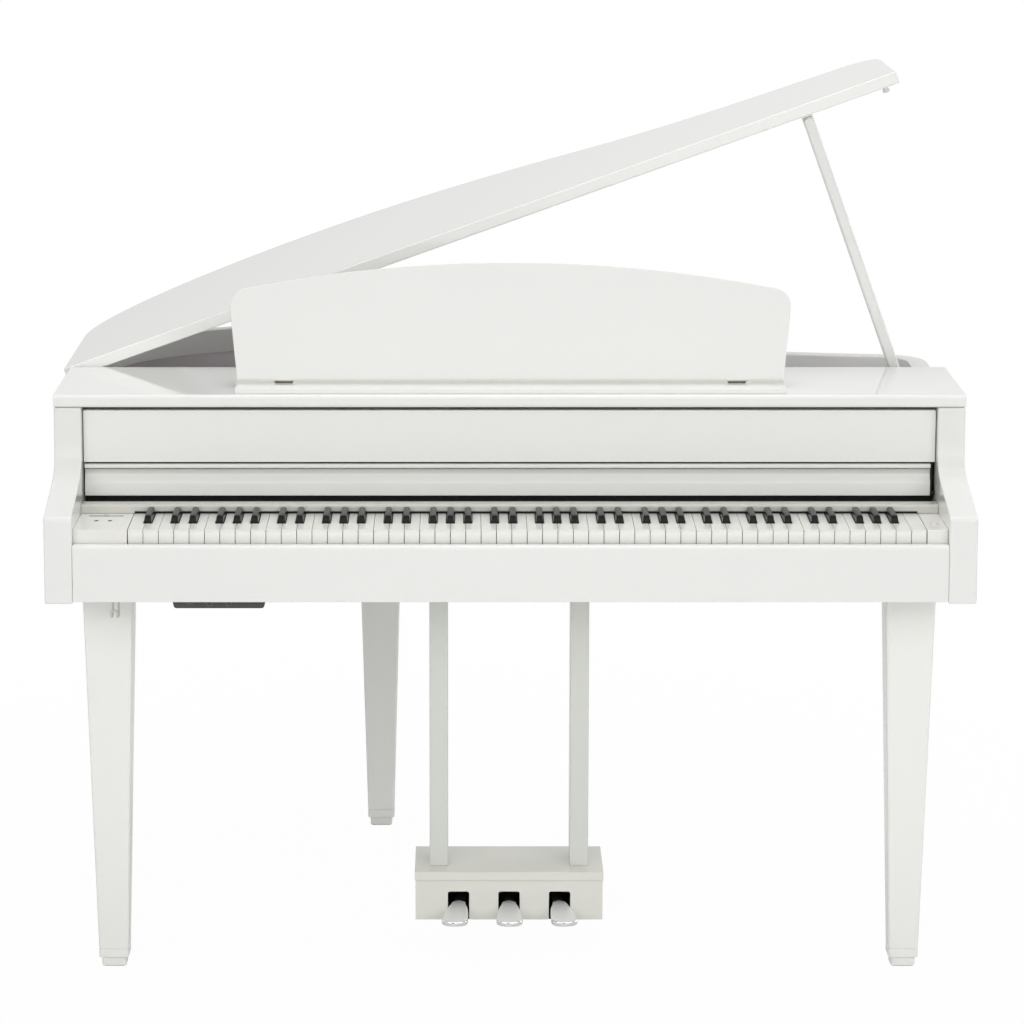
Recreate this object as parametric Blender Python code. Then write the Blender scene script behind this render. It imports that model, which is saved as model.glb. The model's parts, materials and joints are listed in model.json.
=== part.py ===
"""White digital grand piano, built as an assembly of separate pieces.

The frame stands on the floor with +Z up. X runs to the player's right, and the
front plane, where the arms end, faces -Y. The lid stands open on its prop.
"""
import math

import bmesh
import bpy
from mathutils import Matrix, Vector

# Clearances
seat_gap = 0.0003          # between faces that rest on each other
running_gap = 0.0008       # beside a piece that moves

# Case
case_depth = 1.146         # front of the arms to the tail of the lid
arm_width = 0.043
arm_drop = 0.003           # how far the arms reach below the keybed
arm_nose_rise = 0.0245     # arm above the key tops, where it meets the player
arm_nose_radius = 0.009
arm_shelf_rise = 0.053     # arm above the key tops, where it starts to sweep up
arm_shelf_setback = 0.050  # from there back to the upright edge
cover_height = 0.163       # key tops to the top of the arms
board_front = 0.178        # front edge of the fixed top board
board_depth = 0.280
board_thickness = 0.020
board_overhang = 0.001
board_round = 0.006
edge_round = 0.0025

# Keybed and key slip
case_bottom = 0.640
keybed_thickness = 0.0247
slip_thickness = 0.017
slip_below_keys = 0.021
slip_round = 0.006

# Keyboard
white_pitch = 0.0236
white_gap = 0.0008
white_setback = 0.003      # key fronts behind the key slip
key_height = 0.0843        # keybed to the tops of the white keys
key_length = 0.202
white_thickness = 0.011
white_head_height = 0.023
white_head_length = 0.0505
white_count = 52
black_height = 0.012
black_setback = 0.0525     # black key fronts behind the white ones
black_length = 0.0735
black_base_width = 0.0124
black_top_width = 0.0096
black_slope = 0.0025
black_bottom_drop = 0.022  # how far a black key reaches below the white tops
black_arm_height = 0.008
black_arm_width = 0.010
notch_side_gap = 0.0009
black_spread_of_two = 0.0023
black_spread_of_three = 0.0034
rail_depth = 0.032
left_block_width = 0.083
right_block_width = 0.032
block_gap = 0.0009
block_round = 0.0025
strip_gap = 0.004          # behind the black keys
strip_depth = 0.029
strip_height = 0.0137
strip_round = 0.004

# Key frame under the keys
frame_setback = 0.010      # front of the frame behind the key fronts
frame_base_height = 0.030
frame_rail_depth = 0.022
frame_rail_height = 0.047
frame_seat_depth = 0.005
frame_back_depth = 0.005

# Controls beside the keys
slider_slot_length = 0.052
slider_slot_width = 0.003
slider_slot_depth = 0.006
slider_depth_place = 0.130
slider_knob_length = 0.008
slider_knob_width = 0.007
slider_knob_height = 0.002
button_radius = 0.0034
button_depth_place = 0.091
button_spacing = 0.021
button_from_arm = 0.030
button_height = 0.010
button_proud = 0.0008
power_radius = 0.006
power_depth_place = 0.070
power_proud = 0.0015
round_gap = 0.0003

# Fallboard with its folding flap
fall_setback = 0.019       # face behind the key strip
fall_thickness = 0.012
fall_strip_gap = 0.005
fall_top_gap = 0.0073
fall_side_gap = 0.001
fall_foot_height = 0.022
fall_cove_height = 0.018
fall_cove_depth = 0.007
fall_fillet_height = 0.004
fall_nosing_height = 0.008
fall_nosing_proud = 0.002
fall_foot_inset = 0.007    # the moulded foot is narrower than the panel
fall_pivot_inset = 0.004   # pivot behind the face and above the bottom
fall_pin_radius = 0.0025
flap_thickness = 0.008
flap_length = 0.054
flap_gap = 0.0006
partition_gap = 0.0007
partition_thickness = 0.015

# Rim, lid and cavity
rim_thickness = 0.032
rim_ledge = 0.008
lid_overhang = 0.005
lid_thickness = 0.020
lid_gap = 0.0096           # between the rim's top and the closed lid
lid_front_gap = 0.003
lid_open_angle = math.radians(19.78)
straight_side_end = 0.815
tail_x = -0.300
tail_left_handle = 0.231
tail_side_handle = 0.199
tail_right_handle = 0.210
bend_x = 0.205
bend_depth = 0.938
bend_slope = 0.70
bend_handle = 0.120
shoulder_depth = 0.790
shoulder_slope = 0.13
shoulder_handle = 0.200
corner_width = 0.080       # across the rounded treble corner
corner_length = 0.090      # along it
corner_fullness = 0.59     # handle of its curve, as a share of the mean side
cavity_depth = 0.0407
cavity_floor_thickness = 0.006
cavity_floor_setback = 0.057
bottom_board_thickness = 0.012
hinge_leaf_width = 0.022
hinge_leaf_thickness = 0.002
hinge_end_inset = 0.020
bumper_radius = 0.0055
bumper_setback = 0.018

# Lid prop
prop_setback = 0.032       # behind the top board
prop_width = 0.018
prop_thickness = 0.012
prop_foot_inset = 0.0314   # foot from the rim's inner face
prop_foot_drop = 0.0197    # foot below the rim's top
cup_gap = 0.0007
cup_plate_thickness = 0.004
cup_cheek_thickness = 0.004
cup_cheek_height = 0.022
bracket_plate_thickness = 0.006
bracket_ledge_gap = 0.0027
bracket_cheek_height = 0.022

# Music desk
desk_x = 0.002             # the desk's middle
desk_axis_setback = 0.0085 # hinge axis behind the ledge
desk_axis_height = 0.0060  # above the top board
desk_lean = math.radians(20.0)
desk_bottom_half = 0.433
desk_corner_half = 0.446
desk_corner_height = 0.1545
desk_corner_radius = 0.030
desk_centre_height = 0.1955
desk_front = 0.0065        # front face before the hinge axis
desk_back = 0.0020
desk_hinge_x = 0.359
desk_hinge_length = 0.028
desk_barrel_radius = 0.0034
desk_hinge_plate_thickness = 0.0015
desk_hinge_plate_depth = 0.016
ledge_setback = 0.012      # behind the top board's front edge
ledge_depth = 0.0535
ledge_height = 0.0085
ledge_round = 0.002
strut_along = 0.070
strut_offset = 0.0062
strut_length = 0.080
strut_width = 0.060
strut_thickness = 0.006

# Legs
leg_top_width = 0.0800
leg_boss_width = 0.0600    # the part that seats against the keybed
leg_foot_width = 0.0475
leg_taper_end = 0.030
leg_groove = 0.0015
leg_ring_top = 0.028
leg_ring_bottom = 0.016
leg_sole_width = 0.039
leg_corner = 0.004
leg_arm_gap = 0.008        # boss to the arm's inner face
front_leg_depth = 0.204
rear_leg_x = -0.222
rear_leg_depth = 1.031

# Lyre and pedals
lyre_x = 0.0015            # the lyre's middle
lyre_post_x = 0.114
lyre_post_width = 0.030
lyre_post_front = 0.291
lyre_post_depth = 0.070
lyre_post_corner = 0.002
lyre_top_width = 0.306
lyre_top_front = 0.255
lyre_top_rear = 0.407
lyre_top_bottom = 0.121
lyre_top_height = 0.0145
pedal_box_width = 0.3035
pedal_box_front = 0.258
pedal_box_back = 0.039
pedal_box_bottom = 0.055
pedal_slot_side_gap = 0.00425
pedal_slot_top = 0.102
pedal_slot_rear_gap = 0.0095
pedal_spacing = 0.082
pedal_shaft_depth = 0.345
pedal_shaft_height = 0.0775
pedal_shaft_radius = 0.005
pedal_bore_gap = 0.0003
pedal_hub_radius = 0.0105
pedal_hub_width = 0.020
pedal_hub_side_gap = 0.0005
pedal_neck_width = 0.026
pedal_tip_width = 0.0418
pedal_tip_depth = 0.165
pedal_nose = 0.016         # length over which the tip rounds off
pedal_thickness = 0.0115
pedal_edge = 0.003

# Jack box and headphone hook under the keybed
jack_from_arm = 0.150
jack_width = 0.145
jack_front = 0.030
jack_depth = 0.090
jack_height = 0.0160
jack_end_slope = 0.006
jack_hole_radius = 0.0036
jack_hole_depth = 0.030
jack_hole_spacing = 0.030
hook_from_arm = 0.0505
hook_width = 0.0095
hook_depth_place = 0.120
hook_wire_radius = 0.0016
hook_drop = 0.046
hook_reach = 0.028
hook_tip_rise = 0.012

# Inside pieces
speaker_radius = 0.080
speaker_neck_radius = 0.045
speaker_magnet_radius = 0.040
speaker_height = 0.075
speaker_flange = 0.005
left_speaker_place = (-0.430, 0.800)
right_speaker_place = (0.250, 0.680)
circuit_width = 0.300
circuit_depth = 0.120
circuit_thickness = 0.0016
circuit_standoff = 0.006
circuit_front = 0.290
circuit_centre_x = -0.100
circuit_part_height = 0.012


def behind(depth):
    """World Y of a place at this depth behind the front plane."""
    return depth - case_depth / 2


keyboard_width = white_count * white_pitch
inner_half = (left_block_width + right_block_width + keyboard_width + 2 * block_gap) / 2
case_half = inner_half + arm_width
inner_face = inner_half - seat_gap
keyboard_left = -inner_half + left_block_width + block_gap
keyboard_right = keyboard_left + keyboard_width

keybed_top = case_bottom + keybed_thickness
white_top = keybed_top + key_height
white_bottom = white_top - white_thickness
black_top = white_top + black_height
black_bottom = white_top - black_bottom_drop
strip_top = white_top + seat_gap + strip_height
arm_bottom = case_bottom - arm_drop
arm_top = white_top + cover_height
board_bottom = arm_top + seat_gap
board_top = board_bottom + board_thickness
rim_top = board_bottom - lid_gap
cavity_floor_top = rim_top - cavity_depth
ledge_top = cavity_floor_top - cavity_floor_thickness - seat_gap

white_front = slip_thickness + white_setback
rail_rear = white_front + key_length
rail_front = rail_rear - rail_depth
black_front = white_front + black_setback
black_cap_end = black_front + black_length
strip_front = black_cap_end + strip_gap
strip_rear = strip_front + strip_depth
fall_face = strip_rear + fall_setback
partition_front = rail_rear + seat_gap + frame_back_depth + partition_gap
ledge_front = board_front + ledge_setback
ledge_rear = ledge_front + ledge_depth
desk_axis_depth = ledge_rear + desk_axis_setback
board_rear = board_front + board_depth
rim_front = board_rear + seat_gap
lid_front = board_rear + lid_front_gap
prop_depth_place = board_rear + prop_setback
pedal_slot_rear = pedal_shaft_depth + pedal_hub_radius + pedal_slot_rear_gap
pedal_slot_width = pedal_neck_width + 2 * pedal_slot_side_gap

hinge_radius = lid_gap / 2 - seat_gap
hinge_z = rim_top + lid_gap / 2
hinge_x = -case_half + (lid_gap / 2) * math.tan(lid_open_angle / 2)
desk_axis_z = board_top + desk_axis_height
prop_drop = seat_gap + cup_plate_thickness + cup_gap + prop_width / 2
prop_foot_x = case_half - rim_thickness - prop_foot_inset
prop_foot_z = rim_top - prop_foot_drop


def finish(name, colour, roughness, metallic=0.0):
    """A plain Principled material."""
    material = bpy.data.materials.new(name)
    material.use_nodes = True
    shader = material.node_tree.nodes["Principled BSDF"]
    shader.inputs["Base Color"].default_value = (*colour, 1.0)
    shader.inputs["Roughness"].default_value = roughness
    shader.inputs["Metallic"].default_value = metallic
    material.diffuse_color = (*colour, 1.0)
    return material


def add_piece(name, shape, material, pivot=(0, 0, 0), parent=None, turn=(0, 0, 0)):
    """Make one object from a bmesh whose points are measured from the pivot."""
    bmesh.ops.recalc_face_normals(shape, faces=shape.faces)
    mesh = bpy.data.meshes.new(name)
    shape.to_mesh(mesh)
    shape.free()
    mesh.materials.append(material)
    piece = bpy.data.objects.new(name, mesh)
    bpy.context.collection.objects.link(piece)
    piece.parent = parent
    piece.location = pivot
    piece.rotation_euler = turn
    return piece


def round_edges(piece, width, segments=2, angle=40):
    """Round the piece's sharp edges with a Bevel modifier."""
    bevel = piece.modifiers.new("edges", "BEVEL")
    bevel.width = width
    bevel.segments = segments
    bevel.limit_method = "ANGLE"
    bevel.angle_limit = math.radians(angle)


def smooth(piece, angle=35):
    """Shade a round piece smooth up to this angle."""
    piece.data.shade_smooth()
    piece.data.set_sharp_from_angle(angle=math.radians(angle))


def add_boolean(piece, shape, name, operation):
    """Cut or join a bmesh, given in world space, with the piece."""
    bmesh.ops.recalc_face_normals(shape, faces=shape.faces)
    mesh = bpy.data.meshes.new(name)
    shape.to_mesh(mesh)
    shape.free()
    tool = bpy.data.objects.new(name, mesh)
    bpy.context.collection.objects.link(tool)
    tool.hide_render = True
    tool.display_type = "WIRE"
    modifier = piece.modifiers.new(name, "BOOLEAN")
    modifier.operation = operation
    modifier.object = tool
    modifier.solver = "EXACT"


def box(low, high):
    return (tuple(low), tuple(high))


def joined_boxes(boxes):
    """The union of axis-aligned boxes, as one closed body."""
    planes = []
    for axis in range(3):
        values = {round(corner[axis], 6) for one in boxes for corner in one}
        planes.append(sorted(values))
    shape = bmesh.new()
    corners = {}

    def corner(index):
        if index not in corners:
            place = [planes[axis][index[axis]] for axis in range(3)]
            corners[index] = shape.verts.new(place)
        return corners[index]

    def is_filled(cell):
        for axis in range(3):
            if not 0 <= cell[axis] < len(planes[axis]) - 1:
                return False
        middle = [(planes[a][cell[a]] + planes[a][cell[a] + 1]) / 2 for a in range(3)]
        for low, high in boxes:
            if all(low[a] < middle[a] < high[a] for a in range(3)):
                return True
        return False

    counts = [len(values) - 1 for values in planes]
    for i in range(counts[0]):
        for j in range(counts[1]):
            for k in range(counts[2]):
                cell = (i, j, k)
                if not is_filled(cell):
                    continue
                for axis in range(3):
                    for side in (0, 1):
                        neighbour = list(cell)
                        neighbour[axis] += 2 * side - 1
                        if is_filled(tuple(neighbour)):
                            continue
                        first, second = [a for a in range(3) if a != axis]
                        loop = []
                        for step in ((0, 0), (1, 0), (1, 1), (0, 1)):
                            index = list(cell)
                            index[axis] += side
                            index[first] += step[0]
                            index[second] += step[1]
                            loop.append(corner(tuple(index)))
                        shape.faces.new(loop)
    bmesh.ops.dissolve_limit(
        shape, angle_limit=0.001, verts=shape.verts, edges=shape.edges
    )
    return shape


def prism(outline, axis, low, high):
    """Extrude a flat outline along one axis, from low to high."""
    shape = bmesh.new()
    rows = []
    for level in (low, high):
        row = []
        for first, second in outline:
            place = [first, second]
            place.insert(axis, level)
            row.append(shape.verts.new(place))
        rows.append(row)
    shape.faces.new(rows[0])
    shape.faces.new(rows[1])
    count = len(outline)
    for i in range(count):
        j = (i + 1) % count
        shape.faces.new((rows[0][i], rows[0][j], rows[1][j], rows[1][i]))
    return shape


def loft(rings):
    """Join rings of points with equal counts, and close both ends."""
    shape = bmesh.new()
    rows = [[shape.verts.new(point) for point in ring] for ring in rings]
    count = len(rings[0])
    for lower, upper in zip(rows, rows[1:]):
        for i in range(count):
            j = (i + 1) % count
            shape.faces.new((lower[i], lower[j], upper[j], upper[i]))
    shape.faces.new(rows[0])
    shape.faces.new(rows[-1])
    return shape


def arc(centre, radius, start, end, steps):
    """Points on a circle in a plane, angles in degrees."""
    points = []
    for step in range(steps + 1):
        angle = math.radians(start + (end - start) * step / steps)
        x = centre[0] + radius * math.cos(angle)
        y = centre[1] + radius * math.sin(angle)
        points.append((x, y))
    return points


def turned(profile, centre, sides, axis=2):
    """A solid of revolution: the profile is a list of (radius, height)."""
    rings = []
    for radius, height in profile:
        ring = []
        for side in range(sides):
            angle = 2 * math.pi * side / sides
            place = [radius * math.cos(angle), radius * math.sin(angle)]
            place.insert(axis, height)
            ring.append(Vector(place) + Vector(centre))
        rings.append(ring)
    return loft(rings)


def rounded_rectangle(half_x, half_y, corner, steps=2):
    """Corner-rounded rectangle round the origin."""
    points = []
    for sign_x, sign_y, start in ((1, 1, 0), (-1, 1, 90), (-1, -1, 180), (1, -1, 270)):
        centre = (sign_x * (half_x - corner), sign_y * (half_y - corner))
        points += arc(centre, corner, start, start + 90, steps)
    return points


def bezier(controls, steps):
    """Points and directions on a cubic curve, without its first point."""
    curve = []
    a, b, c, d = [Vector(control) for control in controls]
    for step in range(1, steps + 1):
        t = step / steps
        u = 1 - t
        point = a * u**3 + b * 3 * u * u * t + c * 3 * u * t * t + d * t**3
        heading = (b - a) * 3 * u * u + (c - b) * 6 * u * t + (d - c) * 3 * t * t
        curve.append((point, heading.normalized()))
    return curve


def case_outline(inset, front, detail=1.0):
    """Plan of the lid, moved in by inset, from front left round the tail."""
    side = case_half + lid_overhang
    forward = Vector((0, 1))
    backward = Vector((0, -1))
    bend = Vector((bend_x, bend_depth))
    bend_heading = Vector((1, -bend_slope))
    shoulder = Vector((side - corner_width, shoulder_depth))
    shoulder_heading = Vector((1, -shoulder_slope))
    tail = Vector((tail_x, case_depth))
    side_end = Vector((-side, straight_side_end))
    corner_end = Vector((side, shoulder_depth - corner_length))
    corner_handle = corner_fullness * (corner_width + corner_length) / 2
    run = [(Vector((-side, front)), forward), (side_end, forward)]
    run += bezier(
        (
            side_end,
            side_end + forward * tail_side_handle,
            tail - Vector((tail_left_handle, 0)),
            tail,
        ),
        round(10 * detail),
    )
    run += bezier(
        (
            tail,
            tail + Vector((tail_right_handle, 0)),
            bend - bend_heading * bend_handle,
            bend,
        ),
        round(8 * detail),
    )
    run += bezier(
        (
            bend,
            bend + bend_heading * bend_handle,
            shoulder - shoulder_heading * shoulder_handle,
            shoulder,
        ),
        round(6 * detail),
    )
    run += bezier(
        (
            shoulder,
            shoulder + shoulder_heading * corner_handle,
            corner_end + forward * corner_handle,
            corner_end,
        ),
        round(6 * detail),
    )
    run.append((Vector((side, front)), backward))
    outline = []
    for point, heading in run:
        inward = Vector((heading.y, -heading.x))
        moved = point + inward * inset
        outline.append((moved.x, behind(moved.y)))
    return outline


def make_finishes():
    return {
        "case": finish("white_polish", (0.84, 0.84, 0.825), 0.12),
        "panel": finish("white_satin", (0.80, 0.80, 0.77), 0.35),
        "inside": finish("dark_inside", (0.05, 0.05, 0.05), 0.8),
        "floor": finish("cavity_cloth", (0.16, 0.15, 0.16), 0.9),
        "white_key": finish("white_key", (0.87, 0.87, 0.83), 0.3),
        "black_key": finish("black_key", (0.03, 0.03, 0.03), 0.45),
        "chrome": finish("chrome", (0.82, 0.82, 0.82), 0.08, 1.0),
        "metal": finish("dull_metal", (0.45, 0.44, 0.40), 0.35, 1.0),
        "wire": finish("clear_wire", (0.75, 0.75, 0.72), 0.3),
        "dark": finish("dark_plastic", (0.06, 0.06, 0.06), 0.5),
        "button": finish("grey_button", (0.35, 0.35, 0.34), 0.5),
        "board": finish("circuit_green", (0.04, 0.18, 0.08), 0.5),
        "rubber": finish("white_rubber", (0.75, 0.75, 0.72), 0.7),
    }


def make_arms(looks):
    """The two side cheeks that flank the keys."""
    nose = arm_nose_radius
    arm_nose_top = white_top + arm_nose_rise
    arm_shelf_top = white_top + arm_shelf_rise
    arm_shelf_depth = board_front - arm_shelf_setback
    curve = arc(
        (behind(nose), arm_nose_top - nose), nose, 180, 105, 4
    )
    shelf = Vector((arm_shelf_depth, arm_shelf_top))
    upright = Vector((board_front, arm_shelf_top + (arm_top - arm_shelf_top) * 0.52))
    nose_end = Vector((nose, arm_nose_top))
    shelf_rise = Vector((0.040, 0.010))
    sweep = bezier((nose_end, nose_end + shelf_rise, shelf - shelf_rise, shelf), 4)
    sweep += bezier(
        (shelf, shelf + shelf_rise * 1.1, upright - Vector((0, 0.035)), upright), 6
    )
    curve += [(behind(point.x), point.y) for point, heading in sweep]
    outline = [(behind(0), arm_bottom)]
    outline += curve
    outline.append((behind(board_front), arm_top))
    outline.append((behind(board_rear), arm_top))
    outline.append((behind(board_rear), arm_bottom))
    for name, inner, outer in (
        ("left_arm", -inner_half, -case_half),
        ("right_arm", inner_half, case_half),
    ):
        low, high = sorted((inner, outer))
        arm = add_piece(name, prism(outline, 0, low, high), looks["case"])
        round_edges(arm, edge_round)


def make_case_front(looks):
    """Keybed, key slip, fixed top board and the partition behind the fallboard."""
    keybed = joined_boxes(
        [
            box(
                (-inner_face, behind(slip_thickness + seat_gap), case_bottom),
                (inner_face, behind(board_rear), keybed_top),
            )
        ]
    )
    add_piece("keybed", keybed, looks["case"])

    round_top = slip_round
    slip_top = white_top - slip_below_keys
    slip = [(behind(0), case_bottom)]
    slip += arc(
        (behind(round_top), slip_top - round_top), round_top, 180, 90, 4
    )
    slip.append((behind(slip_thickness), slip_top))
    slip.append((behind(slip_thickness), case_bottom))
    add_piece("key_slip", prism(slip, 0, -inner_face, inner_face), looks["case"])

    half = case_half + board_overhang
    r = board_round
    front = behind(board_front)
    board = arc((front + r, board_bottom + r), r, 270, 180, 4)
    board += arc((front + r, board_top - r), r, 180, 90, 4)
    board.append((behind(board_rear), board_top))
    board.append((behind(board_rear), board_bottom))
    add_piece("top_board", prism(board, 0, -half, half), looks["case"])

    partition = joined_boxes(
        [
            box(
                (-inner_face, behind(partition_front), keybed_top + seat_gap),
                (
                    inner_face,
                    behind(partition_front + partition_thickness),
                    board_bottom - seat_gap,
                ),
            )
        ]
    )
    add_piece("inner_partition", partition, looks["inside"])


def make_rim(looks):
    """The bent rim with the ledge that carries the cavity floor."""
    outer = case_outline(lid_overhang, rim_front)
    inner = case_outline(lid_overhang + rim_thickness, rim_front)
    ledge = case_outline(lid_overhang + rim_thickness + rim_ledge, rim_front)
    rings = []
    for out, mid, low in zip(outer, inner, ledge):
        rings.append(
            [
                (*out, case_bottom),
                (*out, rim_top),
                (*mid, rim_top),
                (*mid, ledge_top),
                (*low, ledge_top),
                (*low, case_bottom),
            ]
        )
    add_piece("rim", loft(rings), looks["case"])

    floor_inset = lid_overhang + rim_thickness + seat_gap
    floor = case_outline(floor_inset, board_rear + cavity_floor_setback)
    bottom = cavity_floor_top - cavity_floor_thickness
    add_piece(
        "cavity_floor", prism(floor, 2, bottom, cavity_floor_top), looks["floor"]
    )

    base_inset = lid_overhang + rim_thickness + rim_ledge + seat_gap
    base = case_outline(base_inset, rim_front)
    top = case_bottom + bottom_board_thickness
    add_piece("bottom_board", prism(base, 2, case_bottom, top), looks["case"])


def prop_reach():
    """Where the prop's top sits along the lid, and the prop's length.

    The prop stands square to the open lid, with its foot in the rim's bracket.
    """
    across = prop_foot_x - hinge_x
    below = prop_foot_z - hinge_z
    sine = math.sin(lid_open_angle)
    cosine = math.cos(lid_open_angle)
    along = across * cosine + below * sine
    foot = below * cosine - across * sine
    return along, lid_gap / 2 - prop_drop - foot


def make_lid(looks):
    """The lid, hinged along its left side, and everything that rides on it."""
    pivot = Vector((hinge_x, 0, hinge_z))
    underside = lid_gap / 2
    outline = [(x - hinge_x, y) for x, y in case_outline(0, lid_front)]
    slab = prism(outline, 2, underside, underside + lid_thickness)
    lid = add_piece("lid", slab, looks["case"], pivot, None, (0, -lid_open_angle, 0))
    round_edges(lid, edge_round)

    bumper_x = case_half - rim_thickness / 2 - 0.003 - hinge_x
    profile = [(bumper_radius, 2 * seat_gap - lid_gap), (bumper_radius, 0)]
    centre = (bumper_x, behind(board_rear + bumper_setback), underside - seat_gap)
    bumper = turned(profile, centre, 16)
    smooth(add_piece("lid_bumper", bumper, looks["rubber"], (0, 0, 0), lid))

    top = underside - seat_gap
    middle_y = behind(prop_depth_place)
    inside = prop_thickness / 2 + seat_gap
    outside = inside + cup_cheek_thickness
    half = prop_width / 2
    prop_from_hinge, prop_length = prop_reach()
    cup = joined_boxes(
        [
            box(
                (-half, middle_y - prop_thickness / 2, top - cup_plate_thickness),
                (half, middle_y + outside, top),
            ),
            box(
                (-half, middle_y + inside, top - cup_cheek_height),
                (half, middle_y + outside, top),
            ),
        ]
    )
    add_piece("prop_cup", cup, looks["metal"], (prop_from_hinge, 0, 0), lid)

    side = arc((0, 0), half, 0, 180, 8)
    side += arc((0, -prop_length), half, 180, 360, 8)
    prop = prism(side, 1, middle_y - prop_thickness / 2, middle_y + prop_thickness / 2)
    place = (prop_from_hinge, 0, underside - prop_drop)
    smooth(add_piece("lid_prop", prop, looks["case"], place, lid))
    return lid


def make_hinge(looks):
    """The long hinge on the rim's left edge: one leaf and its barrel."""
    start = behind(lid_front + hinge_end_inset)
    end = behind(straight_side_end)
    leaf = joined_boxes(
        [
            box(
                (hinge_x, start, rim_top + seat_gap),
                (
                    hinge_x + hinge_leaf_width,
                    end,
                    rim_top + seat_gap + hinge_leaf_thickness,
                ),
            )
        ]
    )
    hinge = add_piece("lid_hinge", leaf, looks["metal"])
    profile = [(hinge_radius, start - running_gap), (hinge_radius, end + running_gap)]
    barrel = turned(profile, (hinge_x, 0, hinge_z), 16, 1)
    add_boolean(hinge, barrel, "lid_hinge_barrel", "UNION")


def make_prop_bracket(looks):
    """The forked rest on the rim that takes the foot of the prop."""
    wall = case_half - rim_thickness - seat_gap
    middle_y = behind(prop_depth_place)
    inside = prop_thickness / 2 + seat_gap
    outside = inside + cup_cheek_thickness
    low = prop_foot_z - bracket_cheek_height / 2
    high = prop_foot_z + bracket_cheek_height / 2
    plate_low = ledge_top + bracket_ledge_gap
    plate_top = rim_top - seat_gap
    boxes = [
        box(
            (wall - bracket_plate_thickness, middle_y - outside, plate_low),
            (wall, middle_y + outside, plate_top),
        )
    ]
    for near, far in ((-outside, -inside), (inside, outside)):
        boxes.append(
            box(
                (prop_foot_x - prop_width / 2, middle_y + near, low),
                (wall, middle_y + far, high),
            )
        )
    add_piece("prop_bracket", joined_boxes(boxes), looks["metal"])


def make_fallboard(looks):
    """The folding key cover: a moulded board and the flap folded behind it."""
    height = strip_top + fall_strip_gap + fall_pivot_inset
    pivot = Vector((0, behind(fall_face + fall_pivot_inset), height))
    front = -fall_pivot_inset
    back = front + fall_thickness
    bottom = -fall_pivot_inset
    top = board_bottom - fall_top_gap - height
    cove_low = bottom + fall_foot_height
    cove_high = cove_low + fall_cove_height
    nosing_low = cove_high + fall_fillet_height
    panel_low = nosing_low + fall_nosing_height
    half = inner_half - fall_side_gap
    panel = [
        (front, panel_low + 0.002),
        (front, top),
        (back, top),
        (back, panel_low + 0.002),
    ]
    board = add_piece(
        "fallboard", prism(panel, 0, -half, half), looks["panel"], pivot
    )
    groove = front + 0.002
    nose = front - fall_nosing_proud
    cove = front + fall_cove_depth
    foot = [
        (front + 0.001, bottom),
        (front + 0.001, cove_low),
        (front + 0.003, cove_low + 0.006),
        (cove, cove_high - 0.004),
        (cove, cove_high),
        (nose + 0.001, nosing_low),
        (nose, nosing_low + 0.002),
        (nose, panel_low - 0.003),
        (nose + 0.001, panel_low - 0.001),
        (groove, panel_low),
        (groove, panel_low + 0.010),
        (back - 0.001, panel_low + 0.010),
        (back - 0.001, bottom),
    ]
    foot_half = half - fall_foot_inset
    world = [(y + pivot.y, z + pivot.z) for y, z in foot]
    add_boolean(
        board, prism(world, 0, -foot_half, foot_half), "fallboard_foot", "UNION"
    )

    pin_end = inner_half - seat_gap
    profile = [(fall_pin_radius, -pin_end), (fall_pin_radius, pin_end)]
    add_boolean(board, turned(profile, pivot, 12, 0), "fallboard_pin", "UNION")

    fold = Vector((0, back + seat_gap, top))
    near = flap_gap - seat_gap
    flap = joined_boxes(
        [
            box(
                (-half, near, -seat_gap - flap_length),
                (half, near + flap_thickness, -seat_gap),
            ),
        ]
    )
    add_piece("fallboard_flap", flap, looks["panel"], fold, board)


def make_key_strip(looks):
    """The strip above the keys' rear ends."""
    bottom = white_top + seat_gap
    top = strip_top
    r = strip_round
    outline = [(behind(strip_front), bottom)]
    outline += arc((behind(strip_front) + r, top - r), r, 180, 90, 4)
    outline.append((behind(strip_rear), top))
    outline.append((behind(strip_rear), bottom))
    add_piece("key_strip", prism(outline, 0, -inner_face, inner_face), looks["panel"])


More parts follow.
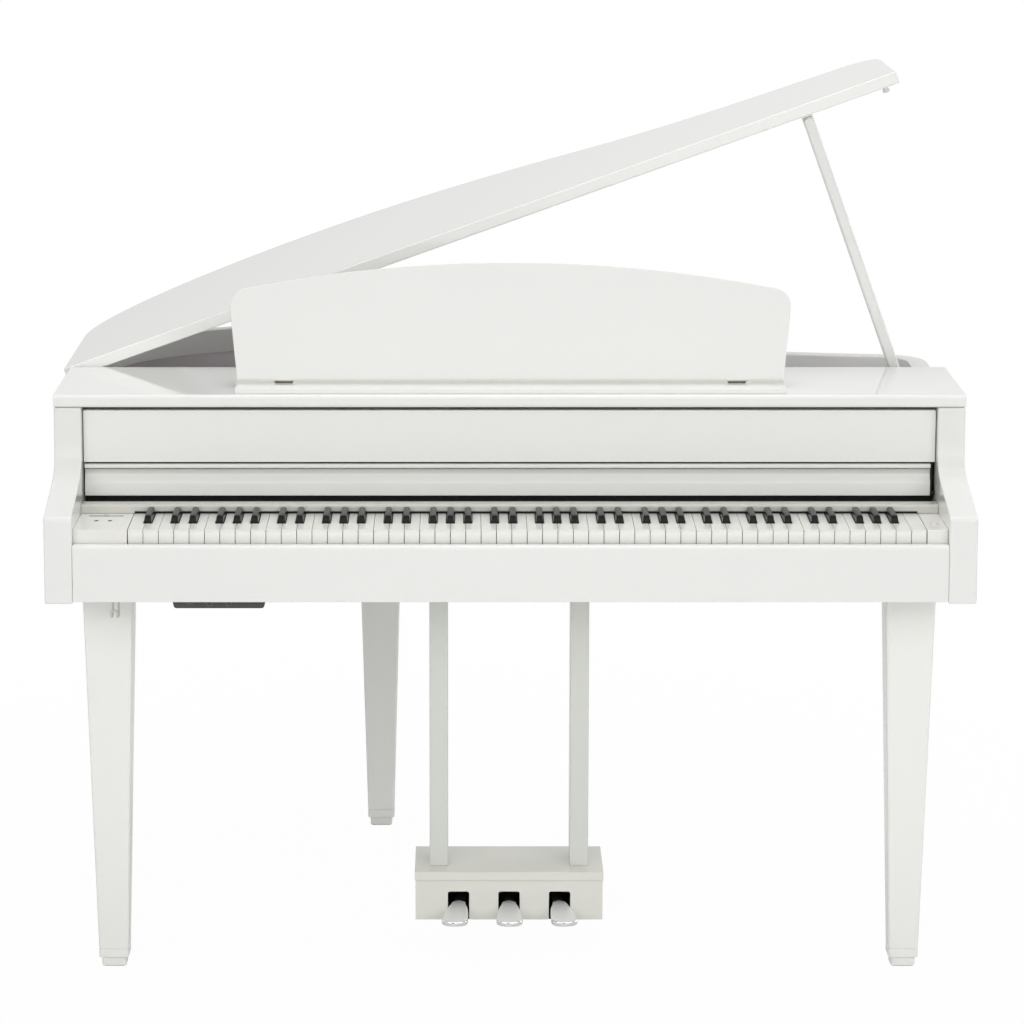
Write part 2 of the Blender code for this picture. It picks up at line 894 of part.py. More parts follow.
def make_blocks(looks):
    """The blocks beside the keys, with their slider, buttons and power switch."""
    low = keybed_top + seat_gap
    front = behind(white_front)
    rear = behind(strip_rear)
    left_low = -inner_face
    left_high = keyboard_left - block_gap
    slot_middle = (left_low + left_high) / 2
    slot_y = behind(slider_depth_place)
    slot_half = slider_slot_length / 2
    slot_low = white_top - slider_slot_depth
    left = joined_boxes([box((left_low, front, low), (left_high, rear, white_top))])
    block = add_piece("left_key_block", left, looks["white_key"])
    slot = joined_boxes(
        [
            box(
                (slot_middle - slot_half, slot_y - slider_slot_width / 2, slot_low),
                (slot_middle + slot_half, slot_y + slider_slot_width / 2, white_top + 0.01),
            )
        ]
    )
    add_boolean(block, slot, "slider_slot_cutter", "DIFFERENCE")

    stem_half = slider_slot_width / 2 - seat_gap
    knob_low = white_top + seat_gap
    knob = joined_boxes(
        [
            box(
                (-slider_knob_length / 2, -stem_half, slot_low + seat_gap - knob_low),
                (slider_knob_length / 2, stem_half, slider_knob_height),
            ),
            box(
                (-slider_knob_length / 2, -slider_knob_width / 2, 0),
                (slider_knob_length / 2, slider_knob_width / 2, slider_knob_height),
            ),
        ]
    )
    add_piece("volume_slider", knob, looks["button"], (slot_middle, slot_y, knob_low))

    button_y = behind(button_depth_place)
    first_x = -inner_half + button_from_arm
    for number in (1, 2):
        x = first_x + (number - 1) * button_spacing
        make_button(
            looks, block, f"panel_button_{number}", (x, button_y), button_radius,
            button_proud, "button",
        )

    right_low = keyboard_right + block_gap
    right = joined_boxes([box((right_low, front, low), (inner_face, rear, white_top))])
    block = add_piece("right_key_block", right, looks["white_key"])
    x = (right_low + inner_face) / 2
    make_button(
        looks, block, "power_button", (x, behind(power_depth_place)), power_radius,
        power_proud, "white_key",
    )


def make_button(looks, block, name, place, radius, proud, look):
    """A round button in its hole."""
    sides = 20
    hole = [(radius + round_gap, -button_height - proud), (radius + round_gap, 0.01)]
    cutter = turned(hole, (*place, white_top), sides)
    add_boolean(block, cutter, name + "_hole", "DIFFERENCE")
    profile = [
        (radius, -button_height - proud + button_travel(proud)),
        (radius, proud - 0.0004),
        (radius - 0.0004, proud),
    ]
    button = turned(profile, (0, 0, 0), sides)
    smooth(add_piece(name, button, looks[look], (*place, white_top)))


def button_travel(proud):
    """Room under a button: as far as it stands proud, and a little more."""
    return proud + 0.0007


def black_offsets():
    """White key number in the octave, counted from C, and the black key's shift."""
    two = black_spread_of_two
    three = black_spread_of_three
    return {0: -two, 1: two, 3: -three, 4: 0.0, 5: three}


def make_keys(looks):
    """Seven combs of white keys and seven of black ones, an octave in each."""
    offsets = black_offsets()
    first_in_octave = 5                     # the lowest white key is an A
    starts = [0] + [9 + 7 * octave for octave in range(6)]
    ends = starts[1:] + [white_count]
    notch_half = black_base_width / 2 + notch_side_gap
    head_end = white_front + white_head_length
    for number, (start, end) in enumerate(zip(starts, ends), 1):
        rail_low = keyboard_left + start * white_pitch + white_gap / 2
        rail_high = keyboard_left + end * white_pitch - white_gap / 2
        white_boxes = [
            box(
                (rail_low, behind(rail_front), white_bottom),
                (rail_high, behind(rail_rear), white_top),
            )
        ]
        black_boxes = [
            box(
                (rail_low, behind(rail_front), black_bottom),
                (rail_high, behind(rail_rear), black_bottom + black_arm_height),
            )
        ]
        caps = []
        for key in range(start, end):
            note = (key + first_in_octave) % 7
            left = keyboard_left + key * white_pitch
            right = left + white_pitch
            tail_left = left + white_gap / 2
            tail_right = right - white_gap / 2
            if (note - 1) % 7 in offsets and key > 0:
                tail_left = left + offsets[(note - 1) % 7] + notch_half
            if note in offsets and key < white_count - 1:
                centre = right + offsets[note]
                tail_right = centre - notch_half
                caps.append(centre)
            white_boxes.append(
                box(
                    (left + white_gap / 2, behind(white_front), white_top - white_head_height),
                    (right - white_gap / 2, behind(head_end), white_top),
                )
            )
            white_boxes.append(
                box(
                    (tail_left, behind(head_end), white_bottom),
                    (tail_right, behind(rail_front), white_top),
                )
            )
        pivot = (0, behind(rail_rear), white_bottom)
        shape = joined_boxes(white_boxes)
        bmesh.ops.translate(shape, verts=shape.verts, vec=-Vector(pivot))
        add_piece(f"white_keys_{number}", shape, looks["white_key"], pivot)

        for centre in caps:
            half = black_base_width / 2
            arm_half = black_arm_width / 2
            black_boxes.append(
                box(
                    (centre - half, behind(black_front), black_bottom),
                    (centre + half, behind(black_cap_end), black_top),
                )
            )
            black_boxes.append(
                box(
                    (centre - arm_half, behind(black_cap_end), black_bottom),
                    (
                        centre + arm_half,
                        behind(rail_front),
                        black_bottom + black_arm_height,
                    ),
                )
            )
        shape = joined_boxes(black_boxes)
        narrowing = (black_base_width - black_top_width) / 2
        for vert in shape.verts:
            if abs(vert.co.z - black_top) > 1e-5:
                continue
            for centre in caps:
                shift = vert.co.x - centre
                if abs(shift) < black_base_width:
                    vert.co.x -= math.copysign(narrowing, shift)
            if abs(vert.co.y - behind(black_front)) < 1e-5:
                vert.co.y += black_slope
        pivot = (0, behind(rail_rear), black_bottom)
        bmesh.ops.translate(shape, verts=shape.verts, vec=-Vector(pivot))
        add_piece(f"black_keys_{number}", shape, looks["black_key"], pivot)


def make_key_frame(looks):
    """The frame that the key combs pivot on."""
    low = keybed_top + seat_gap
    left = keyboard_left
    right = keyboard_right
    seat_top = black_bottom - seat_gap
    front = behind(white_front + frame_setback)
    rear = behind(rail_rear) + seat_gap
    base_top = low + frame_base_height
    rail_top = low + frame_rail_height
    frame = joined_boxes(
        [
            box((left, front, low), (right, rear, base_top)),
            box((left, front, low), (right, front + frame_rail_depth, rail_top)),
            box((left, rear - frame_seat_depth, low), (right, rear, seat_top)),
            box((left, rear, low), (right, rear + frame_back_depth, white_top)),
        ]
    )
    add_piece("key_frame", frame, looks["dark"])


def make_desk(looks):
    """Music desk, its hinges, its strut and the ledge that stops the books."""
    pivot = Vector((desk_x, behind(desk_axis_depth), desk_axis_z))
    low = desk_barrel_radius + seat_gap
    half_low = desk_bottom_half
    half = desk_corner_half
    radius = desk_corner_radius
    rise = desk_centre_height - desk_corner_height
    span = half - radius
    bow = (span * span + rise * rise) / (2 * rise)
    centre = (0, desk_centre_height - bow)
    edge = math.degrees(math.asin(span / bow))
    crown = arc(centre, bow, 90 - edge, 90 + edge, 16)
    corner_z = crown[0][1] - radius
    right_corner = arc((span, corner_z), radius, 0, 84, 4)
    left_corner = [(-x, z) for x, z in reversed(right_corner)]
    outline = [(-half_low, low), (half_low, low)]
    outline += right_corner + crown[1:-1] + left_corner
    board = prism(outline, 1, -desk_front, desk_back)
    desk = add_piece(
        "music_desk", board, looks["case"], pivot, None, (-desk_lean, 0, 0)
    )
    round_edges(desk, 0.0015)

    strut_half = strut_thickness / 2
    side = arc((0, 0), strut_half, 0, 180, 4)
    side += arc((0, -strut_length), strut_half, 180, 360, 4)
    strut = prism(side, 0, -strut_width / 2, strut_width / 2)
    top = Vector((0, strut_offset, strut_along))
    reach = Matrix.Rotation(-desk_lean, 3, "X") @ top
    drop = desk_axis_z + reach.z - (board_top + seat_gap + strut_half)
    angle = math.acos(drop / strut_length)
    strut_piece = add_piece(
        "desk_strut", strut, looks["metal"], top, desk, (angle + desk_lean, 0, 0)
    )
    smooth(strut_piece)

    r = ledge_round
    bottom = board_top + seat_gap
    high = bottom + ledge_height
    front = behind(ledge_front)
    rear = behind(ledge_rear)
    outline = [(front, bottom)]
    outline += arc((front + r, high - r), r, 180, 90, 3)
    outline += arc((rear - r, high - r), r, 90, 0, 3)
    outline.append((rear, bottom))
    add_piece(
        "desk_ledge",
        prism(outline, 0, desk_x - desk_bottom_half, desk_x + desk_bottom_half),
        looks["case"],
    )

    for name, sign in (("left_desk_hinge", -1), ("right_desk_hinge", 1)):
        x = desk_x + sign * desk_hinge_x
        half_length = desk_hinge_length / 2
        plate_rear = pivot.y + desk_hinge_plate_depth
        plate = joined_boxes(
            [
                box(
                    (x - half_length, pivot.y, bottom),
                    (x + half_length, plate_rear, bottom + desk_hinge_plate_thickness),
                ),
                box(
                    (x - half_length, pivot.y - 0.001, bottom),
                    (x + half_length, pivot.y + 0.001, desk_axis_z),
                ),
            ]
        )
        hinge = add_piece(name, plate, looks["metal"])
        reach_x = half_length + seat_gap
        profile = [(desk_barrel_radius, x - reach_x), (desk_barrel_radius, x + reach_x)]
        barrel = turned(profile, (0, pivot.y, desk_axis_z), 12, 0)
        add_boolean(hinge, barrel, name + "_barrel", "UNION")


def make_leg(looks, name, x, depth):
    """One tapered square leg with its ring and sole."""
    top = case_bottom - seat_gap
    waist = leg_foot_width - 2 * leg_groove
    levels = [
        (0.0, leg_sole_width),
        (leg_ring_bottom - 0.001, leg_sole_width),
        (leg_ring_bottom, leg_foot_width),
        (leg_ring_top, leg_foot_width),
        (leg_ring_top + 0.0002, waist),
        (leg_taper_end - 0.0002, waist),
        (leg_taper_end, leg_foot_width),
        (arm_bottom - seat_gap, leg_top_width),
        (arm_bottom, leg_boss_width),
        (top, leg_boss_width),
    ]
    rings = []
    for height, width in levels:
        ring = rounded_rectangle(width / 2, width / 2, leg_corner)
        rings.append([(x + px, behind(depth) + py, height) for px, py in ring])
    add_piece(name, loft(rings), looks["case"])


def make_legs(looks):
    side = inner_half - leg_arm_gap - leg_boss_width / 2
    make_leg(looks, "front_left_leg", -side, front_leg_depth)
    make_leg(looks, "front_right_leg", side, front_leg_depth)
    make_leg(looks, "rear_leg", rear_leg_x, rear_leg_depth)


def make_lyre(looks):
    """Posts, top slab and pedal box."""
    slab_top = lyre_top_bottom + lyre_top_height
    for name, sign in (("left_lyre_post", -1), ("right_lyre_post", 1)):
        middle = behind(lyre_post_front + lyre_post_depth / 2)
        ring = rounded_rectangle(
            lyre_post_width / 2, lyre_post_depth / 2, lyre_post_corner
        )
        rings = []
        for height in (slab_top + seat_gap, case_bottom - seat_gap):
            rings.append(
                [(lyre_x + sign * lyre_post_x + x, middle + y, height) for x, y in ring]
            )
        add_piece(name, loft(rings), looks["panel"])

    half = lyre_top_width / 2
    slab = joined_boxes(
        [
            box(
                (lyre_x - half, behind(lyre_top_front), lyre_top_bottom),
                (lyre_x + half, behind(lyre_top_rear), slab_top),
            )
        ]
    )
    round_edges(add_piece("lyre_top", slab, looks["panel"]), 0.003)

    left = lyre_x - pedal_box_width / 2
    right = lyre_x + pedal_box_width / 2
    front = behind(pedal_box_front)
    rear = behind(pedal_slot_rear + pedal_box_back)
    slot_rear = behind(pedal_slot_rear)
    top = lyre_top_bottom - seat_gap
    boxes = [
        box((left, slot_rear, pedal_box_bottom), (right, rear, top)),
        box((left, front, pedal_slot_top), (right, rear, top)),
    ]
    edges = [left]
    for number in (-1, 0, 1):
        centre = lyre_x + number * pedal_spacing
        edges.append(centre - pedal_slot_width / 2)
        edges.append(centre + pedal_slot_width / 2)
    edges.append(right)
    for low, high in zip(edges[::2], edges[1::2]):
        boxes.append(box((low, front, pedal_box_bottom), (high, rear, top)))
    housing = add_piece("pedal_box", joined_boxes(boxes), looks["panel"])
    reach = pedal_spacing + pedal_slot_width
    bore = pedal_shaft_radius + seat_gap
    centre = (lyre_x, behind(pedal_shaft_depth), pedal_shaft_height)
    cutter = turned([(bore, -reach), (bore, reach)], centre, 16, 0)
    add_boolean(housing, cutter, "pedal_shaft_bore", "DIFFERENCE")
    end = reach - seat_gap
    profile = [(pedal_shaft_radius, -end), (pedal_shaft_radius, end)]
    smooth(add_piece("pedal_shaft", turned(profile, (0, 0, 0), 16, 0),
                     looks["metal"], centre))


def make_pedal(looks, name, side):
    """One pedal: a lever with a rounded tip, turning on the shaft."""
    front_reach = pedal_shaft_depth - pedal_box_front
    hub_shift = (pedal_slot_width - pedal_hub_width) / 2 - pedal_hub_side_gap
    hub_x = side * (pedal_spacing - hub_shift)
    splay = side * math.atan(hub_shift / front_reach)
    pivot = Vector((lyre_x + hub_x, behind(pedal_shaft_depth), pedal_shaft_height))
    length = pedal_shaft_depth - pedal_tip_depth
    neck = pedal_neck_width / 2
    tip = pedal_tip_width / 2
    stations = [(0.0, pedal_hub_width / 2), (0.5 * front_reach, neck)]
    round_start = length - pedal_nose
    for step in range(6):
        share = step / 5
        ease = 1 - (1 - share) ** 1.6
        along = front_reach + (round_start - front_reach) * share
        stations.append((along, neck + (tip - neck) * ease))
    for share in (0.45, 0.75, 0.93, 1.0):
        half = tip * (1 - 0.97 * share**3) ** (1 / 3)
        stations.append((round_start + pedal_nose * share, half))
    turn = Matrix.Rotation(splay, 3, "Z")
    rings = []
    for along, half in stations:
        edge = min(pedal_edge, half * 0.6)
        ring = []
        for x, z in rounded_rectangle(half, pedal_thickness / 2, edge, 1):
            ring.append(turn @ Vector((x, -along, z)))
        rings.append(ring)
    pedal = add_piece(name, loft(rings), looks["chrome"], pivot)
    hub_half = pedal_hub_width / 2
    hub = turned(
        [(pedal_hub_radius, -hub_half), (pedal_hub_radius, hub_half)], pivot, 16, 0
    )
    add_boolean(pedal, hub, name + "_hub", "UNION")
    bore = pedal_shaft_radius + pedal_bore_gap
    reach = pedal_hub_width
    cutter = turned([(bore, -reach), (bore, reach)], pivot, 16, 0)
    add_boolean(pedal, cutter, name + "_bore", "DIFFERENCE")
    smooth(pedal)


def make_jack_box(looks):
    """The dark box of sockets hung under the keybed."""
    top = case_bottom - seat_gap
    low = top - jack_height
    slope = jack_end_slope
    jack_left = jack_from_arm - inner_half
    jack_right = jack_left + jack_width
    outline = [
        (jack_left, top),
        (jack_right, top),
        (jack_right, low + slope * 1.4),
        (jack_right - slope, low + slope * 0.4),
        (jack_right - slope * 1.6, low),
        (jack_left + slope * 1.6, low),
        (jack_left + slope, low + slope * 0.4),
        (jack_left, low + slope * 1.4),
    ]
    shape = prism(outline, 1, behind(jack_front), behind(jack_front + jack_depth))
    jack = add_piece("jack_box", shape, looks["dark"])
    middle = (jack_left + jack_right) / 2
    height = top - jack_height / 2
    for number, offset in ((1, -0.5), (2, 0.5)):
        x = middle + offset * jack_hole_spacing
        start = behind(jack_front) - 0.01
        end = behind(jack_front + jack_hole_depth)
        cutter = turned(
            [(jack_hole_radius, start), (jack_hole_radius, end)],
            (x, 0, height), 12, 1,
        )
        add_boolean(jack, cutter, f"headphone_socket_{number}", "DIFFERENCE")


def make_hook(looks):
    """A bent wire hook that headphones hang on."""
    top = case_bottom - seat_gap
    y = behind(hook_depth_place)
    bend = top - hook_drop + 0.008
    low = top - hook_drop
    front = y - hook_reach
    left = hook_from_arm - inner_half
    half_path = [
        (left, y, top),
        (left, y, bend),
        (left, y - 0.003, low + 0.0025),
        (left, y - 0.009, low),
        (left, front + 0.006, low + 0.001),
        (left, front + 0.001, low + 0.005),
        (left, front, low + hook_tip_rise - 0.003),
    ]
    middle = [
        (left + hook_width * 0.2, front - 0.0005, low + hook_tip_rise),
        (left + hook_width * 0.5, front - 0.0008, low + hook_tip_rise + 0.0015),
        (left + hook_width * 0.8, front - 0.0005, low + hook_tip_rise),
    ]
    path = [Vector(p) for p in half_path + middle]
    path += [Vector((x + hook_width, py, pz)) for x, py, pz in reversed(half_path)]
    rings = []
    sides = 8
    side_axis = Vector((0, 1, 0))
    for i, point in enumerate(path):
        ahead = path[min(i + 1, len(path) - 1)]
        astern = path[max(i - 1, 0)]
        heading = (ahead - astern).normalized()
        side_axis = (side_axis - heading * side_axis.dot(heading)).normalized()
        other = heading.cross(side_axis)
        ring = []
        for side in range(sides):
            angle = 2 * math.pi * side / sides
            offset = side_axis * math.cos(angle) + other * math.sin(angle)
            ring.append(point + offset * hook_wire_radius)
        rings.append(ring)
    smooth(add_piece("headphone_hook", loft(rings), looks["wire"]), 60)


def make_inside(looks):
    """Speakers under the cavity floor and the circuit board on the keybed."""
    seat = cavity_floor_top - cavity_floor_thickness - seat_gap
    for name, place in (
        ("left_speaker", left_speaker_place),
        ("right_speaker", right_speaker_place),
    ):
        profile = [
            (speaker_magnet_radius, -speaker_height),
            (speaker_magnet_radius, -speaker_height * 0.62),
            (speaker_neck_radius, -speaker_height * 0.60),
            (speaker_radius * 0.88, -speaker_flange),
            (speaker_radius, -speaker_flange),
            (speaker_radius, 0),
        ]
        shape = turned(profile, (place[0], behind(place[1]), seat), 24)
        smooth(add_piece(name, shape, looks["dark"]))

    base = keybed_top + seat_gap
    plate_low = base + circuit_standoff
    plate_high = plate_low + circuit_thickness
    left = circuit_centre_x - circuit_width / 2
    right = circuit_centre_x + circuit_width / 2
    near = behind(circuit_front)
    far = behind(circuit_front + circuit_depth)
    post = 0.008
    boxes = [box((left, near, plate_low), (right, far, plate_high))]
    for x in (left + post, right - 2 * post):
        for y in (near + post, far - 2 * post):
            boxes.append(box((x, y, base), (x + post, y + post, plate_low)))
    for share in (0.2, 0.5, 0.8):
        x = left + circuit_width * share
        y = (near + far) / 2
        size = circuit_depth * 0.2
        top = plate_high + circuit_part_height
        boxes.append(box((x - size, y - size, plate_high), (x + size, y + size, top)))
    add_piece("circuit_board", joined_boxes(boxes), looks["board"])


def main():
    for old in list(bpy.data.objects):
        bpy.data.objects.remove(old, do_unlink=True)
    looks = make_finishes()
    make_arms(looks)
    make_case_front(looks)
    make_rim(looks)
    make_lid(looks)
    make_hinge(looks)
    make_prop_bracket(looks)
    make_fallboard(looks)
    make_key_strip(looks)
    make_blocks(looks)
    make_keys(looks)
    make_key_frame(looks)
    make_desk(looks)
    make_legs(looks)
    make_lyre(looks)
    make_pedal(looks, "soft_pedal", -1)
    make_pedal(looks, "sostenuto_pedal", 0)
    make_pedal(looks, "damper_pedal", 1)
    make_jack_box(looks)
    make_hook(looks)
    make_inside(looks)


main()
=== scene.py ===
import json
from math import asin, atan, cos, degrees, pi, radians, sin, sqrt

import bmesh
import bpy
from mathutils import Matrix, Vector


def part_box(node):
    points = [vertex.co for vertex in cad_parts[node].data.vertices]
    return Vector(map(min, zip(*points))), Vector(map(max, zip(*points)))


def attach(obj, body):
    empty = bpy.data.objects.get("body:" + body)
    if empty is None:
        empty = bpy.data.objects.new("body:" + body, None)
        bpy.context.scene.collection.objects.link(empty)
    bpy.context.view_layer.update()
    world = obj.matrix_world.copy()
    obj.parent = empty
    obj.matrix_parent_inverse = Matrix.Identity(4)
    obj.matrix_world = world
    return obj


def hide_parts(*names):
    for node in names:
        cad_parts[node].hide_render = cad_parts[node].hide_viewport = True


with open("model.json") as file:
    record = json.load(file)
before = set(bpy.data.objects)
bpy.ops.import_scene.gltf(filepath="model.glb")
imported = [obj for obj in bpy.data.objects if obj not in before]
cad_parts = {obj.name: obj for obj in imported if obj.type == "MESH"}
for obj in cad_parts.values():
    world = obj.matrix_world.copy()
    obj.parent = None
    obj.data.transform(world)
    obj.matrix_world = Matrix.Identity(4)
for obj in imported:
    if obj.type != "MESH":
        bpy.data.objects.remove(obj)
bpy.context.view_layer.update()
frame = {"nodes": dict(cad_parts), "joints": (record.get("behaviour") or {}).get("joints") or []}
joints = {joint["name"]: joint for joint in frame["joints"]}
scene = bpy.context.scene


class Values(dict):
    # a dictionary whose entries also read as attributes
    __getattr__ = dict.__getitem__


# how far the case reaches, from the CAD, so that every piece sits where the frame says
plan = Values(
    frontY=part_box("left_arm")[0].y, armOuter=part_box("right_arm")[1].x,
    armInner=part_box("right_arm")[0].x, armTop=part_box("left_arm")[1].z,
    armBottom=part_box("left_arm")[0].z, keyTop=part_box("white_keys_1")[1].z,
    boardTop=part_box("top_board")[1].z, rimTop=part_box("rim")[1].z,
    keybedBottom=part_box("keybed")[0].z, seatGap=0.0003)


def depthY(depth):
    # depth is measured back from the front plane of the arms
    return plan.frontY + depth


def jointPlace(name):
    return Vector(joints[name]["pos_m"])


def placed(name, data):
    thing = bpy.data.objects.new(name, data)
    scene.collection.objects.link(thing)
    return thing


# the photograph's viewing angle, found from its own edges
cameraValues = Values(
    x=-0.070, distance=5.838, height=1.941,     # distance is in front of the arms
    pitchDown=9.73, shiftX=0.0459, shiftY=-0.10,
    focalPixels=3894.0, pictureWidth=1024, sensorWidth=36.0)


def makeCamera(v):
    data = bpy.data.cameras.new("camera")
    data.sensor_width = v.sensorWidth
    data.lens = v.focalPixels / v.pictureWidth * v.sensorWidth
    data.shift_x, data.shift_y = v.shiftX, v.shiftY
    data.clip_start, data.clip_end = 0.05, 200
    scene.camera = placed("camera", data)
    scene.camera.location = (v.x, plan.frontY - v.distance, v.height)
    scene.camera.rotation_euler = (radians(90 - v.pitchDown), 0, 0)


makeCamera(cameraValues)
scene.view_settings.view_transform = "Standard"
print("camera placed")

# node trees for the finishes and for what repeats
socketKinds = {"colour": "Color", "value": "Float", "vector": "Vector", "count": "Int",
               "geometry": "Geometry", "object": "Object", "material": "Material"}


def openTree(name, treeKind, inputs, outputs):
    # a tree with named sockets, then what it is given and what it gives back
    tree = bpy.data.node_groups.new(name, treeKind)
    for way, sockets in (("INPUT", inputs), ("OUTPUT", outputs)):
        for label, kind, *value in sockets:
            socket = tree.interface.new_socket(label, in_out=way,
                                               socket_type="NodeSocket" + socketKinds[kind])
            if value:
                socket.default_value = value[0]
    return tree, tree.nodes.new("NodeGroupInput").outputs, tree.nodes.new("NodeGroupOutput").inputs


def addNode(tree, kind, sockets=None, **settings):
    node = tree.nodes.new(kind)
    for key, value in settings.items():
        setattr(node, key, value)
    for key, value in (sockets or {}).items():
        if isinstance(value, bpy.types.NodeSocket):
            tree.links.new(value, node.inputs[key])
        else:
            node.inputs[key].default_value = value
    return node


def mathNode(tree, operation, first, second=0.5, clamp=False):
    return addNode(tree, "ShaderNodeMath", {0: first, 1: second},
                   operation=operation, use_clamp=clamp).outputs[0]


def swing(tree, mask, middle, amount, above=False, clamp=False):
    # how far a mask stands off its middle, times an amount
    return mathNode(tree, "MULTIPLY", mathNode(tree, "SUBTRACT", mask, middle, above), amount, clamp)


def noiseOn(tree, vector, scale, detail=2.0, roughness=0.5):
    return addNode(tree, "ShaderNodeTexNoise", {
        "Vector": vector, "Scale": scale, "Detail": detail, "Roughness": roughness}).outputs["Fac"]


def tinted(tree, colour, mask, amount):
    # lightens and darkens a colour round its own value
    factor = mathNode(tree, "ADD", swing(tree, mask, 0.5, amount), 1.0)
    return addNode(tree, "ShaderNodeVectorMath", {0: colour, "Scale": factor},
                   operation="SCALE").outputs[0]


def openFinish(name, inputs):
    sockets = [("Colour", "colour", (0.5, 0.5, 0.5, 1))]
    sockets += [(label, "colour" if isinstance(value, tuple) else "value", value)
                for label, value in inputs.items()]
    tree, given, result = openTree(name, "ShaderNodeTree", sockets, [
        ("Colour", "colour"), ("Roughness", "value"), ("Normal", "vector")])
    return tree, given, result, addNode(tree, "ShaderNodeTexCoord").outputs["Object"]


def closeFinish(tree, result, colour, roughness, height, strength, distance):
    bump = addNode(tree, "ShaderNodeBump", {
        "Height": height, "Strength": strength, "Distance": distance})
    tree.links.new(colour, result["Colour"])
    tree.links.new(roughness, result["Roughness"])
    tree.links.new(bump.outputs[0], result["Normal"])
    return tree


def makePolishGroup():
    # poured and buffed lacquer: slow tone drift, faint orange peel, cloth-wipe smears
    tree, given, result, place = openFinish("polishedFilm", {
        "Tone Drift": 0.02, "Peel Scale": 260.0, "Peel Depth": 0.03, "Shine Floor": 0.05,
        "Smears": 0.04})
    slow = noiseOn(tree, place, 2.3, 3.0)
    wiped = addNode(tree, "ShaderNodeMapping", {"Vector": place, "Scale": (1.2, 5.0, 9.0)})
    smear = noiseOn(tree, wiped.outputs[0], 3.1, 5.0, 0.6)
    shine = mathNode(tree, "ADD", swing(tree, smear, 0.42, given["Smears"], True),
                     given["Shine Floor"])
    return closeFinish(tree, result, tinted(tree, given["Colour"], slow, given["Tone Drift"]), shine,
                       noiseOn(tree, place, given["Peel Scale"], 1.0), given["Peel Depth"], 0.0004)


def makeMouldGroup():
    # moulded plastic and rubber: fine spark-eroded grain, speckle, finger shine
    tree, given, result, place = openFinish("mouldedGrain", {
        "Speckle": 0.05, "Grain Scale": 1400.0, "Grain Depth": 0.12, "Roughness": 0.4,
        "Handling": 0.08})
    fleck, slow = noiseOn(tree, place, 900.0, 2.0, 0.7), noiseOn(tree, place, 11.0, 3.0)
    both = mathNode(tree, "ADD", mathNode(tree, "MULTIPLY", fleck, 0.5),
                    mathNode(tree, "MULTIPLY", slow, 0.5))
    worn = swing(tree, noiseOn(tree, place, 24.0, 4.0), 0.5, given["Handling"])
    grain = addNode(tree, "ShaderNodeTexVoronoi", {
        "Vector": place, "Scale": given["Grain Scale"]}).outputs["Distance"]
    return closeFinish(tree, result, tinted(tree, given["Colour"], both, given["Speckle"]),
                       mathNode(tree, "ADD", worn, given["Roughness"]), grain,
                       given["Grain Depth"], 0.0002)


def makeBrushGroup():
    # drawn or brushed metal: long hairlines, tarnish in patches
    tree, given, result, place = openFinish("brushedMetal", {
        "Tarnish": (0.2, 0.18, 0.14, 1), "Tarnish Amount": 0.3, "Line Scale": 60.0,
        "Line Depth": 0.05, "Roughness": 0.3})
    drawn = addNode(tree, "ShaderNodeMapping", {"Vector": place, "Scale": (0.4, 14.0, 14.0)})
    lines = noiseOn(tree, drawn.outputs[0], given["Line Scale"], 3.0)
    spread = mathNode(tree, "MULTIPLY", given["Tarnish Amount"], 4.0)
    patch = swing(tree, noiseOn(tree, place, 45.0, 4.0, 0.65), 0.45, spread, True, True)
    mixed = addNode(tree, "ShaderNodeMix", {0: patch, 6: given["Colour"], 7: given["Tarnish"]},
                    data_type="RGBA")
    rough = mathNode(tree, "ADD", swing(tree, lines, 0.5, 0.16), given["Roughness"])
    return closeFinish(tree, result, mixed.outputs[2], rough, lines, given["Line Depth"], 0.0002)


def makeFeltGroup():
    # pressed felt and flocked cloth: matted fibres in two directions
    tree, given, result, place = openFinish("feltFibres", {
        "Lint": 0.25, "Fibre Scale": 90.0, "Fibre Depth": 0.35})
    fibres = []
    for turn, stretch in ((0.6, (1.0, 7.0, 3.0)), (-0.5, (7.0, 1.0, 3.0))):
        laid = addNode(tree, "ShaderNodeMapping", {
            "Vector": place, "Rotation": (0, 0, turn), "Scale": stretch})
        fibres.append(noiseOn(tree, laid.outputs[0], given["Fibre Scale"], 3.0, 0.7))
    matted = mathNode(tree, "MAXIMUM", *fibres)
    rough = mathNode(tree, "ADD", mathNode(tree, "MULTIPLY", matted, 0.1), 0.85)
    return closeFinish(tree, result, tinted(tree, given["Colour"], matted, given["Lint"]), rough,
                       matted, given["Fibre Depth"], 0.0006)


groups = {"polish": makePolishGroup(), "mould": makeMouldGroup(), "brush": makeBrushGroup(),
          "felt": makeFeltGroup()}


def makeFinish(name, kind, values, shader):
    # one Principled material fed by one of the groups
    material = bpy.data.materials.new(name)
    material.use_nodes = True
    tree = material.node_tree
    surface = tree.nodes["Principled BSDF"]
    group = addNode(tree, "ShaderNodeGroup", node_tree=groups[kind])
    for key, value in values.items():
        group.inputs[key].default_value = (*value, 1) if isinstance(value, tuple) else value
    for label, target in (("Colour", "Base Color"), ("Roughness", "Roughness"), ("Normal", "Normal")):
        tree.links.new(group.outputs[label], surface.inputs[target])
    for key, value in shader.items():
        surface.inputs[key].default_value = value
    return material


